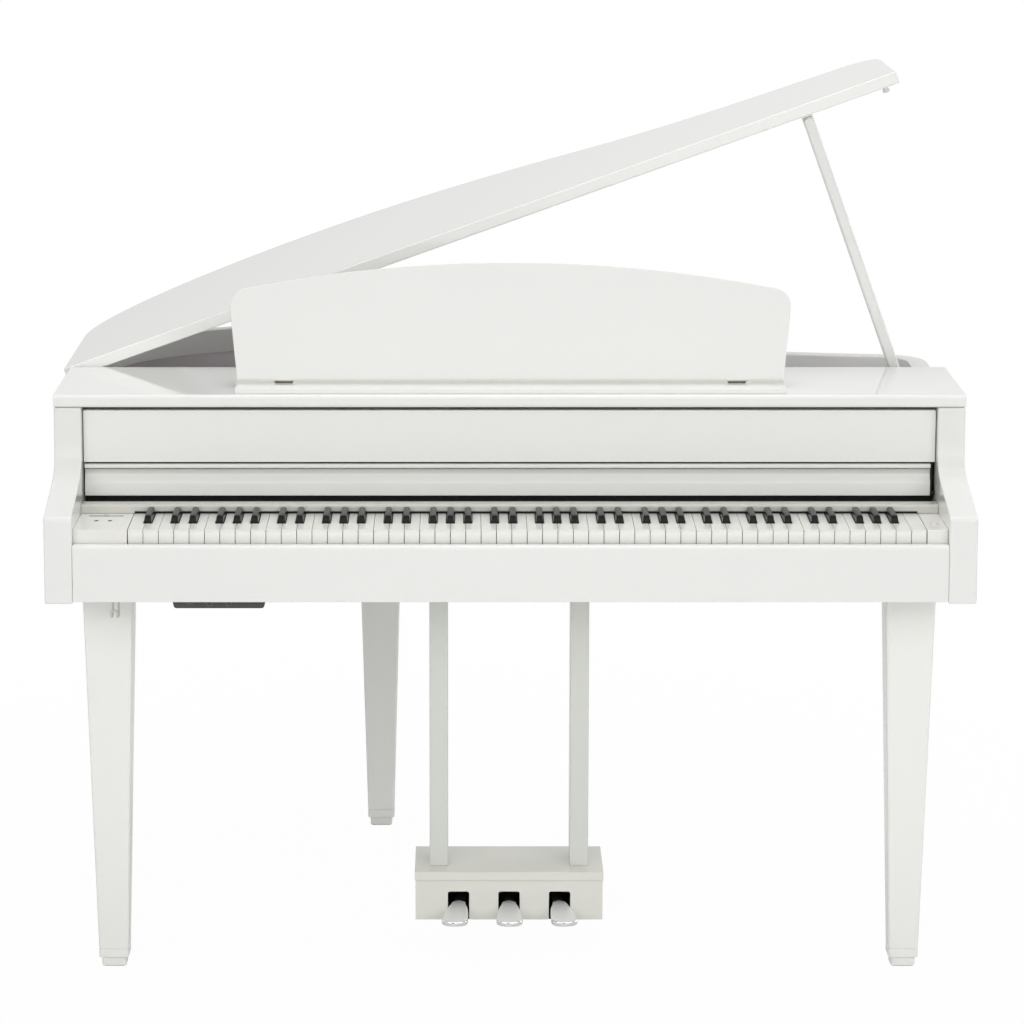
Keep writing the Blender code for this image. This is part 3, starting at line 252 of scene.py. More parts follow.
# what the numbers after a finish's colour are; left out at the end, the group's own value holds
finishInputs = {
    "polish": ("Tone Drift", "Peel Depth", "Shine Floor", "Smears"),
    "mould": ("Roughness", "Speckle", "Grain Depth", "Handling", "Grain Scale"),
    "brush": ("Roughness", "Tarnish", "Tarnish Amount", "Line Depth"),
    "felt": ("Lint",),
}
finishValues = {
    "whiteLacquer": ("polish", (0.825, 0.83, 0.805), 0.015, 0.012, 0.035, 0.06),
    "whiteFront": ("polish", (0.855, 0.86, 0.83), 0.02, 0.02, 0.09, 0.10),
    "whiteLyre": ("polish", (0.70, 0.715, 0.67), 0.02, 0.02, 0.08, 0.08),
    "creamLyre": ("polish", (0.79, 0.785, 0.725), 0.02, 0.015, 0.03, 0.03),
    # a khaki-grey copy of the lacquer: painted shade, for the cove under the fallboard's nosing and
    # the band at the desk's foot
    "coveKhaki": ("polish", (0.72, 0.715, 0.665), 0.03, 0.02, 0.10, 0.10),
    # a grey copy of the lacquer for the strip over the keys: painted shade
    "stripGrey": ("polish", (0.63, 0.63, 0.585), 0.03, 0.02, 0.08, 0.10),
    # a lighter copy of the case lacquer: painted light on the front legs, which the case would
    # otherwise shade
    "legWhite": ("polish", (0.89, 0.89, 0.855), 0.02, 0.012, 0.035, 0.06),
    # a lighter copy of the case lacquer: painted light on the fixed top board
    "boardWhite": ("polish", (0.865, 0.87, 0.845), 0.015, 0.012, 0.035, 0.06),
    # a lighter copy of the case lacquer: painted light on the lid's front edge
    "edgePaintedLight": ("polish", (0.91, 0.915, 0.885), 0.015, 0.012, 0.035, 0.06),
    # a lighter copy of the satin white: painted light on the fallboard panel
    "panelWhite": ("polish", (0.88, 0.885, 0.86), 0.02, 0.02, 0.09, 0.10),
    "darkPaint": ("mould", (0.012, 0.012, 0.011), 0.75, 0.5, 0.3),
    "cavityFelt": ("felt", (0.56, 0.52, 0.54)),
    "slotFelt": ("felt", (0.012, 0.011, 0.011), 0.5),
    "dampFelt": ("felt", (0.05, 0.048, 0.045), 0.5),
    "whiteKey": ("mould", (0.82, 0.82, 0.775), 0.22, 0.012, 0.03, 0.10),
    "blackKey": ("mould", (0.010, 0.010, 0.009), 0.24, 0.3, 0.05, 0.10),
    "greyButton": ("mould", (0.12, 0.12, 0.115), 0.42),
    "paleMark": ("mould", (0.66, 0.67, 0.63), 0.35),
    "paleKnob": ("mould", (0.50, 0.49, 0.44), 0.40),
    "paleBlock": ("mould", (0.82, 0.815, 0.78), 0.24, 0.015, 0.05, 0.10),
    "slotBrown": ("mould", (0.16, 0.14, 0.11), 0.6),
    "darkPlastic": ("mould", (0.055, 0.055, 0.055), 0.48, 0.25, 0.22),
    "whiteRubber": ("mould", (0.74, 0.74, 0.71), 0.68, 0.05, 0.25),
    "soleNylon": ("mould", (0.62, 0.62, 0.59), 0.55, 0.05, 0.25),
    "clearWire": ("mould", (0.60, 0.60, 0.565), 0.22),
    "circuitGreen": ("mould", (0.03, 0.16, 0.07), 0.4, 0.4, 0.4, 0.08, 260.0),
    "chromePlate": ("brush", (0.86, 0.865, 0.87), 0.07, (0.74, 0.74, 0.73), 0.10, 0.004),
    # a paler, hardly metallic copy of the chrome: a painted sheen for the bright room the chrome tops
    # mirror
    "pedalTopPaintedSheen": ("brush", (0.90, 0.905, 0.90), 0.38, (0.74, 0.74, 0.72), 0.12, 0.02),
    "agedBronze": ("brush", (0.30, 0.265, 0.19), 0.36, (0.10, 0.085, 0.06), 0.6),
    "dullSteel": ("brush", (0.50, 0.49, 0.46), 0.34, (0.30, 0.29, 0.26), 0.35),
}
shaderValues = {"polish": {"Specular IOR Level": 0.32}, "blackKey": {"Specular IOR Level": 0.12},
                "chromePlate": {"Metallic": 1.0}, "agedBronze": {"Metallic": 1.0},
                "dullSteel": {"Metallic": 1.0}, "pedalTopPaintedSheen": {"Metallic": 0.22}}
finishes = {}
for finishName, (finishKind, finishColour, *finishNumbers) in finishValues.items():
    finishSettings = {"Colour": finishColour, **dict(zip(finishInputs[finishKind], finishNumbers))}
    shaderKey = "polish" if finishKind == "polish" else finishName
    finishes[finishName] = makeFinish(finishName, finishKind, finishSettings,
                                      shaderValues.get(shaderKey, {}))
print("finishes made:", len(finishes))


# mesh helpers
def meshOf(name, shape):
    mesh = bpy.data.meshes.new(name)
    shape.to_mesh(mesh)
    shape.free()
    return mesh


def announce(piece, body, stands):
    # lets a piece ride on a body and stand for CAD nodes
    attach(piece, body)
    if stands:
        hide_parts(stands)
    return piece


def addPiece(name, shape, looks, body, stands=None, soft=0.0, steps=3, keepAngle=None):
    # puts a bmesh in the scene and rounds its edges by the width called soft
    bmesh.ops.recalc_face_normals(shape, faces=shape.faces)
    mesh = meshOf(name, shape)
    mesh.shade_smooth()
    if keepAngle and not soft:
        mesh.set_sharp_from_angle(angle=radians(keepAngle))
    for look in [looks] if isinstance(looks, str) else looks:
        mesh.materials.append(finishes[look])
    piece = placed(name, mesh)
    if soft:
        bevel = piece.modifiers.new("roundedEdges", "BEVEL")
        bevel.width = soft
        bevel.segments = steps
        bevel.limit_method = "ANGLE"
        bevel.angle_limit = radians(38)
        piece.modifiers.new("evenShading", "WEIGHTED_NORMAL").weight = 100
    return announce(piece, body, stands)


def cadShape(node):
    # a merged copy of a CAD node, with its flat faces whole again
    shape = bmesh.new()
    shape.from_mesh(frame["nodes"][node].data)
    bmesh.ops.remove_doubles(shape, verts=shape.verts, dist=2e-5)
    bmesh.ops.dissolve_limit(shape, angle_limit=radians(0.6), verts=shape.verts, edges=shape.edges)
    return shape


def addBlock(shape, low, high):
    size, middle = Vector(high) - Vector(low), (Vector(high) + Vector(low)) / 2
    bmesh.ops.create_cube(shape, size=1.0,
                          matrix=Matrix.Translation(middle) @ Matrix.Diagonal((*size, 1)))


def blockShape(blocks):
    shape = bmesh.new()
    for low, high in blocks:
        addBlock(shape, low, high)
    return shape


def lofted(rings, shape=None):
    shape = shape or bmesh.new()
    rows = [[shape.verts.new(point) for point in ring] for ring in rings]
    shape.faces.new(rows[0])
    shape.faces.new(rows[-1])
    for lower, upper in zip(rows, rows[1:]):
        for i in range(len(lower)):
            j = (i + 1) % len(lower)
            shape.faces.new((lower[i], lower[j], upper[j], upper[i]))
    return shape


def atLevel(outline, axis, level):
    return [(*pair[:axis], level, *pair[axis:]) for pair in outline]


def extruded(outline, axis, low, high, shape=None):
    return lofted([atLevel(outline, axis, level) for level in (low, high)], shape)


def turnedShape(profile, sides, centre=(0, 0, 0), axis=2, shape=None):
    turns = [2 * pi * side / sides for side in range(sides)]
    rings = [atLevel([(radius * cos(turn), radius * sin(turn)) for turn in turns], axis, height)
             for radius, height in profile]
    return lofted([[Vector(place) + Vector(centre) for place in ring] for ring in rings], shape)


def pinShape(radius, start, end, narrower, ease, sides, centre=(0, 0, 0), axis=0, shape=None):
    # a round bar with eased ends
    profile = [(radius - narrower, start), (radius, start + ease), (radius, end - ease),
               (radius - narrower, end)]
    return turnedShape(profile, sides, centre, axis, shape)


def arcPoints(centre, radius, start, end, steps):
    angles = [radians(start + (end - start) * step / steps) for step in range(steps + 1)]
    return [(centre[0] + radius * cos(angle), centre[1] + radius * sin(angle)) for angle in angles]


def curvePoints(controls, steps):
    # points and headings on a cubic curve, without its first point
    a, b, c, d = [Vector(control) for control in controls]
    run = []
    for step in range(1, steps + 1):
        t = step / steps
        u = 1 - t
        point = a * u**3 + b * 3 * u * u * t + c * 3 * u * t * t + d * t**3
        heading = (b - a) * 3 * u * u + (c - b) * 6 * u * t + (d - c) * 3 * t * t
        run.append((point, heading.normalized()))
    return run


def roundedRing(halfX, halfY, corner, steps):
    points = []
    for signX, signY, start in ((1, 1, 0), (-1, 1, 90), (-1, -1, 180), (1, -1, 270)):
        centre = (signX * (halfX - corner), signY * (halfY - corner))
        points += arcPoints(centre, corner, start, start + 90, steps)
    return points


def moved(shape, matrix):
    bmesh.ops.transform(shape, matrix=matrix, verts=shape.verts)
    return shape


# geometry node trees for what repeats
def openCopies(name, inputs):
    return openTree(name, "GeometryNodeTree", [("Geometry", "geometry")] + inputs,
                    [("Geometry", "geometry")])


def closeCopies(tree, given, result, geometry):
    real = addNode(tree, "GeometryNodeRealizeInstances", {"Geometry": geometry})
    painted = addNode(tree, "GeometryNodeSetMaterial", {
        "Geometry": real.outputs[0], "Material": given["Finish"]})
    tree.links.new(painted.outputs[0], result["Geometry"])
    return tree


def copiesOn(tree, given, points):
    pattern = addNode(tree, "GeometryNodeObjectInfo", {"Object": given["Pattern"]})
    turn = addNode(tree, "FunctionNodeEulerToRotation", {0: given["Turn"]})
    return addNode(tree, "GeometryNodeInstanceOnPoints", {
        "Points": points, "Instance": pattern.outputs["Geometry"],
        "Rotation": turn.outputs[0], "Scale": given["Size"]}).outputs[0]


copyInputs = [("Pattern", "object"), ("Turn", "vector"), ("Size", "value"), ("Finish", "material")]


def makeRowTree():
    tree, given, result = openCopies("rowOfCopies", [
        ("Start", "vector"), ("Step", "vector"), ("Count", "count")] + copyInputs)
    line = addNode(tree, "GeometryNodeMeshLine", {
        "Count": given["Count"], "Start Location": given["Start"], "Offset": given["Step"]},
        mode="OFFSET")
    return closeCopies(tree, given, result, copiesOn(tree, given, line.outputs[0]))


def makePlacesTree():
    tree, given, result = openCopies("copiesAtPlaces", copyInputs)
    return closeCopies(tree, given, result, copiesOn(tree, given, given["Geometry"]))


def makeWireTree():
    tree, given, result = openCopies("wireAlongPath", [
        ("Radius", "value"), ("Sides", "count"), ("Finish", "material")])
    path = addNode(tree, "GeometryNodeMeshToCurve", {"Mesh": given["Geometry"]})
    ring = addNode(tree, "GeometryNodeCurvePrimitiveCircle", {
        "Resolution": given["Sides"], "Radius": given["Radius"]})
    swept = addNode(tree, "GeometryNodeCurveToMesh", {
        "Curve": path.outputs[0], "Profile Curve": ring.outputs[0], "Fill Caps": True})
    return closeCopies(tree, given, result, swept.outputs[0])


trees = {"row": makeRowTree(), "places": makePlacesTree(), "wire": makeWireTree()}


def runTree(name, kind, points, links, inputs, look, body, stands, keepAngle):
    # runs a tree on a holder object and keeps the result as a plain mesh
    base = bpy.data.meshes.new(name + "Base")
    base.from_pydata([tuple(point) for point in points], links, [])
    holder = placed(name, base)
    modifier = holder.modifiers.new("copies", "NODES")
    modifier.node_group = trees[kind]
    for item in trees[kind].interface.items_tree:
        if item.item_type == "SOCKET" and item.in_out == "INPUT" and item.name in inputs:
            modifier[item.identifier] = inputs[item.name]
    depsgraph = bpy.context.evaluated_depsgraph_get()
    baked = bpy.data.meshes.new_from_object(holder.evaluated_get(depsgraph))
    holder.modifiers.remove(modifier)
    holder.data = baked
    baked.shade_smooth()
    baked.set_sharp_from_angle(angle=radians(keepAngle))
    if not baked.materials:
        baked.materials.append(finishes[look])
    return announce(holder, body, stands)


def bakeCopies(name, kind, pattern, look, body, places=((0, 0, 0),), stands=None, slot=None,
               keepAngle=40, **others):
    template = placed(name + "Pattern", meshOf(name + "Pattern", pattern))
    inputs = {"Pattern": template, "Finish": finishes[look], "Turn": (0.0, 0.0, 0.0), "Size": 1.0}
    inputs.update({key.capitalize(): value for key, value in others.items()})
    holder = runTree(name, kind, places, [], inputs, look, body, stands, keepAngle)
    bpy.data.objects.remove(template)
    return holder


def bakeWire(name, path, radius, sides, look, body, stands=None, keepAngle=60):
    inputs = {"Radius": radius, "Sides": sides, "Finish": finishes[look]}
    links = [(i, i + 1) for i in range(len(path) - 1)]
    return runTree(name, "wire", path, links, inputs, look, body, stands, keepAngle)


# arms, key slip and fixed top board
armValues = Values(
    noseRise=0.0245, noseRadius=0.009, shelfRise=0.053, shelfSetback=0.050, boardFront=0.178,
    boardDepth=0.280, sweepRun=0.040, sweepRise=0.010, uprightShare=0.52, uprightHandle=0.035,
    edge=0.0026)


def armOutline(v):
    nose = v.noseRadius
    noseTop = plan.keyTop + v.noseRise
    shelf = Vector((v.boardFront - v.shelfSetback, plan.keyTop + v.shelfRise))
    upright = Vector((v.boardFront, shelf.y + (plan.armTop - shelf.y) * v.uprightShare))
    noseEnd = Vector((nose, noseTop))
    rise = Vector((v.sweepRun, v.sweepRise))
    run = arcPoints((nose, noseTop - nose), nose, 180, 105, 8)
    sweep = curvePoints((noseEnd, noseEnd + rise, shelf - rise, shelf), 12)
    sweep += curvePoints((shelf, shelf + rise * 1.1, upright - Vector((0, v.uprightHandle)),
                          upright), 20)
    run += [(point.x, point.y) for point, heading in sweep]
    rear = v.boardFront + v.boardDepth
    run = [(0, plan.armBottom)] + run
    run += [(v.boardFront, plan.armTop), (rear, plan.armTop), (rear, plan.armBottom)]
    return [(depthY(d), z) for d, z in run]


for side, name in ((-1, "left"), (1, "right")):
    low, high = sorted((side * plan.armInner, side * plan.armOuter))
    addPiece(name + "Cheek", extruded(armOutline(armValues), 0, low, high), "whiteLacquer",
             "case", name + "_arm", armValues.edge)

slipValues = Values(thickness=0.017, belowKeys=0.021, round=0.006, edge=0.0008)


def makeSlip(v):
    top = plan.keyTop - v.belowKeys
    r = v.round
    outline = [(depthY(0), plan.keybedBottom)]
    outline += arcPoints((depthY(r), top - r), r, 180, 90, 8)
    outline += [(depthY(v.thickness), top), (depthY(v.thickness), plan.keybedBottom)]
    half = plan.armInner - plan.seatGap
    addPiece("keySlip", extruded(outline, 0, -half, half), "whiteLacquer", "case", "key_slip",
             v.edge, 2)


makeSlip(slipValues)

boardValues = Values(round=0.006, overhang=0.001, thickness=0.020, endEdge=0.0014)


def makeTopBoard(v):
    r = v.round
    low = plan.boardTop - v.thickness
    front = depthY(armValues.boardFront)
    rear = depthY(armValues.boardFront + armValues.boardDepth)
    outline = arcPoints((front + r, low + r), r, 270, 180, 10)
    outline += arcPoints((front + r, plan.boardTop - r), r, 180, 90, 10)
    outline += [(rear, plan.boardTop), (rear, low)]
    half = plan.armOuter + v.overhang
    # the fixed top board takes the painted-light copy of the lacquer
    addPiece("fixedTopBoard", extruded(outline, 0, -half, half), "boardWhite", "case",
             "top_board", v.endEdge)


makeTopBoard(boardValues)
addPiece("keybedPanel", cadShape("keybed"), "whiteLacquer", "case", "keybed", 0.0012, 2)
addPiece("innerWall", cadShape("inner_partition"), "darkPaint", "case", "inner_partition",
         0.0008, 2)
print("case front made")


# bent rim, its floors and the lid share one plan curve
rimValues = Values(
    lidOverhang=0.005, thickness=0.032, ledge=0.008, front=0.4583, caseDepth=1.146,
    straightEnd=0.815, tailX=-0.300, tailLeft=0.231, tailSide=0.199, tailRight=0.210, bendX=0.205,
    bendDepth=0.938, bendSlope=0.70, bendHandle=0.120, shoulderDepth=0.790, shoulderSlope=0.13,
    shoulderHandle=0.200, cornerWidth=0.080, cornerLength=0.090, cornerFullness=0.59,
    floorTop=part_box("cavity_floor")[1].z, floorThickness=0.006, floorFront=0.515,
    baseThickness=0.012, edge=0.0022, fineness=5)


def planCurve(v, inset, front):
    side = plan.armOuter + v.lidOverhang
    fine = v.fineness
    forward, backward = Vector((0, 1)), Vector((0, -1))
    bend = Vector((v.bendX, v.bendDepth))
    bendWay = Vector((1, -v.bendSlope))
    shoulder = Vector((side - v.cornerWidth, v.shoulderDepth))
    shoulderWay = Vector((1, -v.shoulderSlope))
    tail = Vector((v.tailX, v.caseDepth))
    sideEnd = Vector((-side, v.straightEnd))
    cornerEnd = Vector((side, v.shoulderDepth - v.cornerLength))
    handle = v.cornerFullness * (v.cornerWidth + v.cornerLength) / 2
    run = [(Vector((-side, front)), forward), (sideEnd, forward)]
    run += curvePoints((sideEnd, sideEnd + forward * v.tailSide,
                        tail - Vector((v.tailLeft, 0)), tail), 10 * fine)
    run += curvePoints((tail, tail + Vector((v.tailRight, 0)),
                        bend - bendWay * v.bendHandle, bend), 8 * fine)
    run += curvePoints((bend, bend + bendWay * v.bendHandle,
                        shoulder - shoulderWay * v.shoulderHandle, shoulder), 6 * fine)
    run += curvePoints((shoulder, shoulder + shoulderWay * handle,
                        cornerEnd + forward * handle, cornerEnd), 6 * fine)
    run.append((Vector((side, front)), backward))
    outline = []
    for point, heading in run:
        inward = Vector((heading.y, -heading.x))
        place = point + inward * inset
        outline.append((place.x, depthY(place.y)))
    return outline


def makeRim(v):
    top, low = plan.rimTop, plan.keybedBottom
    ledgeTop = v.floorTop - v.floorThickness - plan.seatGap
    outerInset = v.lidOverhang
    innerInset = outerInset + v.thickness
    r = v.edge
    section = [(outerInset + r * 0.4, low), (outerInset, low + r * 0.4)]
    section += arcPoints((outerInset + r, top - r), r, 180, 90, 3)
    section += arcPoints((innerInset - r, top - r), r, 90, 0, 3)
    section += [(innerInset, ledgeTop), (innerInset + v.ledge, ledgeTop),
                (innerInset + v.ledge, low)]
    curves = {inset: planCurve(v, inset, v.front) for inset in {p[0] for p in section}}
    count = len(next(iter(curves.values())))
    rings = [[(*curves[inset][i], z) for inset, z in section] for i in range(count)]
    addPiece("bentRim", lofted(rings), "whiteLacquer", "case", "rim", keepAngle=50)
    floor = extruded(planCurve(v, innerInset + plan.seatGap, v.floorFront), 2,
                     v.floorTop - v.floorThickness, v.floorTop)
    addPiece("cavityFloorCloth", floor, "cavityFelt", "case", "cavity_floor", 0.0008, 2)
    base = extruded(planCurve(v, innerInset + v.ledge + plan.seatGap, v.front),
                    2, low, low + v.baseThickness)
    addPiece("baseBoard", base, "whiteFront", "case", "bottom_board", 0.001, 2)


makeRim(rimValues)

lidValues = Values(
    openAngle=19.78, gap=0.0096, thickness=0.020, front=0.461, edge=0.0028, bumperRadius=0.0055,
    bumperDepth=0.476, bumperInset=0.003)
lidPivot = jointPlace("lid_swing")
lidTurn = Matrix.Translation(lidPivot) @ Matrix.Rotation(-radians(lidValues.openAngle), 4, "Y")


def makeLid(v):
    outline = [(x - lidPivot.x, y) for x, y in planCurve(rimValues, 0, v.front)]
    low = v.gap / 2
    slab = moved(extruded(outline, 2, low, low + v.thickness), lidTurn)
    openLid = addPiece("openLid", slab, ["whiteLacquer", "edgePaintedLight"], "lid", "lid",
                       v.edge, 4)
    # faces turned to the front take the painted-light copy: a painted highlight along the lid's front
    # edge
    for face in openLid.data.polygons:
        face.material_index = 1 if face.normal.y < -0.9 else 0
    radius = v.bumperRadius
    profile = [(radius * share, height) for share, height in (
        (0.55, -0.0090), (0.86, -0.0086), (1, -0.0070), (1, -0.0034), (0.82, -0.0030),
        (0.82, -0.0006), (1, 0.0))]
    x = plan.armOuter - rimValues.thickness / 2 - v.bumperInset - lidPivot.x
    bumper = turnedShape(profile, 32, (x, depthY(v.bumperDepth), low - plan.seatGap))
    addPiece("lidBumper", moved(bumper, lidTurn), "whiteRubber", "lid", "lid_bumper",
             keepAngle=50)


makeLid(lidValues)

hingeValues = Values(
    radius=0.0045, knuckle=0.0245, pitch=0.025, leafWidth=0.022, leafThickness=0.002,
    screwRadius=0.0032, screwHeight=0.0007, screwPitch=0.045, screwInset=0.014, firstScrew=0.012)


def knuckleShape(radius, length, sides=20):
    profile = [(radius * share, length * along)
               for share, along in ((0.9, 0), (1, 0.02), (1, 0.98), (0.9, 1))]
    return turnedShape(profile, sides, axis=1)


def screwShape(radius, height, sides=16):
    # a countersunk head with a sunk cross
    profile = [(radius, 0), (radius, height * 0.5), (radius * 0.82, height), (radius * 0.42, height),
               (radius * 0.34, height * 0.35)]
    return turnedShape(profile, sides)


def makeLidHinge(v):
    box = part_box("lid_hinge")
    top = plan.rimTop + plan.seatGap + v.leafThickness
    leaf = blockShape([((lidPivot.x, box[0].y, plan.rimTop + plan.seatGap),
                        (lidPivot.x + v.leafWidth, box[1].y, top))])
    addPiece("lidHingeLeaf", leaf, "dullSteel", "case", "lid_hinge", 0.0005, 2)
    length = box[1].y - box[0].y
    count = int(length / v.pitch)
    start = box[0].y + (length - count * v.pitch) / 2
    bakeCopies("lidHingeKnuckles", "row", knuckleShape(v.radius, v.knuckle),
               "dullSteel", "case", start=(lidPivot.x, start, lidPivot.z),
               step=(0.0, v.pitch, 0.0), count=count)
    screws = int(length / v.screwPitch)
    bakeCopies("lidHingeScrews", "row", screwShape(v.screwRadius, v.screwHeight), "dullSteel",
               "case", start=(lidPivot.x + v.screwInset, start + v.firstScrew, top), count=screws,
               step=(0.0, v.screwPitch, 0.0))


makeLidHinge(hingeValues)

propValues = Values(width=0.018, thickness=0.012, edge=0.0042, pinRadius=0.0026, pinHalf=0.0062)


def makeProp(v):
    # a flat stick with round ends, hung from the lid
    place = jointPlace("prop_swing")
    turn = Matrix.Translation(place) @ Matrix.Rotation(-radians(lidValues.openAngle), 4, "Y")
    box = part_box("lid_prop")
    half = v.width / 2
    length = (place.z - half - box[0].z) / cos(radians(lidValues.openAngle))
    outline = arcPoints((0, 0), half, 0, 180, 16) + arcPoints((0, -length), half, 180, 360, 16)
    stick = extruded(outline, 1, -v.thickness / 2, v.thickness / 2)
    addPiece("propStick", moved(stick, turn), "whiteLacquer", "lid_prop", "lid_prop",
             v.edge, 3)
    pin = pinShape(v.pinRadius, -v.pinHalf, v.pinHalf, 0.0004, 0.0002, 20, axis=1)
    addPiece("propPin", moved(pin, turn), "whiteFront", "lid_prop", keepAngle=50)


makeProp(propValues)
addPiece("propCup", cadShape("prop_cup"), "whiteFront", "lid", "prop_cup", 0.0006, 2)
addPiece("propBracket", cadShape("prop_bracket"), "dullSteel", "case", "prop_bracket",
         0.0008, 2)
print("rim and lid made")


# fallboard, its flap and the strip over the keys
fallValues = Values(
    frontInset=0.004, thickness=0.012, footHeight=0.022, coveHeight=0.018, coveDepth=0.007,
    filletHeight=0.004, nosingHeight=0.008, nosingProud=0.002, underline=0.0011,
    khakiHeight=0.0105, footInset=0.007, leftFootInset=0.0012, sideGap=0.001, groove=0.0035,
    nosingRound=0.0026, pinRadius=0.0025, edge=0.0012, flapThickness=0.008, flapLength=0.054)


def makeFallboard(v):
    pivot = jointPlace("fallboard_swing")
    front = pivot.y - v.frontInset
    back = front + v.thickness
    bottom = pivot.z - v.frontInset
    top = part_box("fallboard")[1].z
    coveLow = bottom + v.footHeight
    coveHigh = coveLow + v.coveHeight
    nosingLow = coveHigh + v.filletHeight
    panelLow = nosingLow + v.nosingHeight
    half = plan.armInner - v.sideGap
    panel = blockShape([((-half, front, panelLow + 0.002), (half, back, top))])
    # the fallboard panel takes the painted-light copy of the lacquer
    addPiece("fallboardPanel", panel, "panelWhite", "fallboard", "fallboard", v.edge)
    nose = front - v.nosingProud
    cove = front + v.coveDepth
    r, foot = v.nosingRound, front + 0.001
    outline = [(foot, bottom), (foot, coveLow - 0.004)]
    sweep = curvePoints(((foot, coveLow - 0.004), (foot, coveLow + 0.004),
                         (cove - 0.001, coveHigh - 0.014), (cove, coveHigh - 0.003)), 10)
    outline += [(p.x, p.y) for p, heading in sweep] + [(cove, nosingLow - 0.0002)]
    outline += arcPoints((nose + r, nosingLow + r), r, 250, 180, 5)
    outline += arcPoints((nose + r, panelLow - 0.0010 - r), r, 180, 100, 5)
    groove = front + v.groove + 0.0008
    outline += [(groove, panelLow - 0.0008), (groove, panelLow + 0.010),
                (back - 0.001, panelLow + 0.010), (back - 0.001, bottom)]
    footHalf = half - v.footInset
    footLeft = half - v.leftFootInset
    moulding = addPiece("fallboardMoulding", extruded(outline, 0, -footLeft, footHalf),
                        ["whiteFront", "coveKhaki"], "fallboard", soft=0.0006, steps=2)
    # the cove's top, just under the nosing, takes the painted-shade khaki that stands for the
    # nosing's shadow
    for face in moulding.data.polygons:
        inPaintedShade = (nosingLow - v.khakiHeight < face.center.z < nosingLow
                  and face.center.y < back - 0.002)
        face.material_index = 1 if inPaintedShade and abs(face.normal.x) < 0.5 else 0
    # dark blocks where there is only shade: painted shadow behind the groove over the nosing, in the
    # gap at the foot's right end and as a line under the nosing
    gapShadeFront = cove + 0.0008
    shadow = blockShape([((-half + 0.002, front + v.groove, panelLow - 0.0006),
                          (half - 0.002, back - 0.002, panelLow + 0.0060)),
                         ((footHalf - 0.010, gapShadeFront, bottom + 0.002),
                          (footHalf + 0.004, back - 0.002, panelLow - 0.0004)),
                         ((-footLeft + 0.0008, front + 0.0016, nosingLow - v.underline),
                          (footHalf - 0.0008, cove + 0.0004, nosingLow - 0.0001))])
    addPiece("fallboardSeam", shadow, "darkPaint", "fallboard", soft=0.0003, steps=1)
    pinHalf = plan.armInner - plan.seatGap
    pins = bmesh.new()
    for side in (-1, 1):
        ends = sorted((side * (footHalf - 0.004), side * pinHalf))
        pinShape(v.pinRadius, *ends, 0.0003, 0.0004, 20, (0, pivot.y, pivot.z), shape=pins)
    addPiece("fallboardPins", pins, "darkPaint", "fallboard", keepAngle=50)
    low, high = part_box("fallboard_flap")
    flap = blockShape([((-half, low.y, high.z - v.flapLength),
                        (half, low.y + v.flapThickness, high.z))])
    addPiece("fallboardFlap", flap, "whiteFront", "fallboard_flap", "fallboard_flap", 0.0012)


makeFallboard(fallValues)

stripValues = Values(
    front=0.150, rear=0.179, height=0.0137, round=0.004, edge=0.0006, felt=0.0016,
    feltHeight=0.0032)


def makeKeyStrip(v):
    low = plan.keyTop + plan.seatGap
    top = low + v.height
    r = v.round
    outline = [(depthY(v.front), low)]
    outline += arcPoints((depthY(v.front) + r, top - r), r, 180, 90, 8)
    outline += [(depthY(v.rear), top), (depthY(v.rear), low)]
    half = plan.armInner - plan.seatGap
    # the strip over the keys takes painted shade, a grey that stands for the shade it sits in
    addPiece("keyCoverStrip", extruded(outline, 0, -half, half), "stripGrey", "case", "key_strip",
             v.edge, 2)
    near, low = depthY(v.front - v.felt), plan.keyTop + 0.0004
    felt = blockShape([((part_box("white_keys_1")[0].x, near, low),
                        (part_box("white_keys_7")[1].x, near + v.felt * 0.9,
                         low + v.feltHeight))])
    addPiece("keyStripFelt", felt, "slotFelt", "case", soft=0.0003, steps=2)


makeKeyStrip(stripValues)
print("fallboard made")


# keys
keyValues = Values(
    pitch=0.0236, gap=0.0008, count=52, front=0.020, headLength=0.0505, headHeight=0.023,
    thickness=0.011, railFront=0.190, railRear=0.222, plate=0.0024, lip=0.0009, softEdge=0.0004,
    seenGap=0.00055, corner=0.0009, inset=0.0002, blackFront=0.0725, blackEnd=0.146,
    blackBase=0.0124, blackTop=0.0096, blackHeight=0.012, blackDrop=0.022, armHeight=0.008,
    armWidth=0.010, notchGap=0.0009, spreadOfTwo=0.0023, spreadOfThree=0.0034,
    shoulder=0.0030, frontPinch=0.0006)


def blackShift(note):
    two, three = keyValues.spreadOfTwo, keyValues.spreadOfThree
    return {0: -two, 1: two, 3: -three, 4: 0.0, 5: three}.get(note)


def whiteKeyTop(shape, left, tailLeft, tailRight, v):
    # a plate with rounded front corners, cut back beside the black keys, and its slim tail
    half = v.seenGap / 2
    right = left + v.pitch - half
    left = left + half
    plateLow = plan.keyTop - v.plate
    head = v.front + v.headLength
    corner = v.corner
    outline = [(left + corner, depthY(v.front)), (right - corner, depthY(v.front)),
               (right, depthY(v.front + corner)), (right, depthY(head))]
    if tailRight < right - 1e-5:
        outline.append((tailRight, depthY(head)))
    outline += [(tailRight, depthY(v.railFront)), (tailLeft, depthY(v.railFront))]
    if tailLeft > left + 1e-5:
        outline.append((tailLeft, depthY(head)))
    outline += [(left, depthY(head)), (left, depthY(v.front + corner))]
    extruded(outline, 2, plateLow, plan.keyTop, shape)
    inset = v.inset
    addBlock(shape, (tailLeft + inset, depthY(head - inset), plan.keyTop - v.thickness),
             (tailRight - inset, depthY(v.railFront), plateLow - 0.00002))


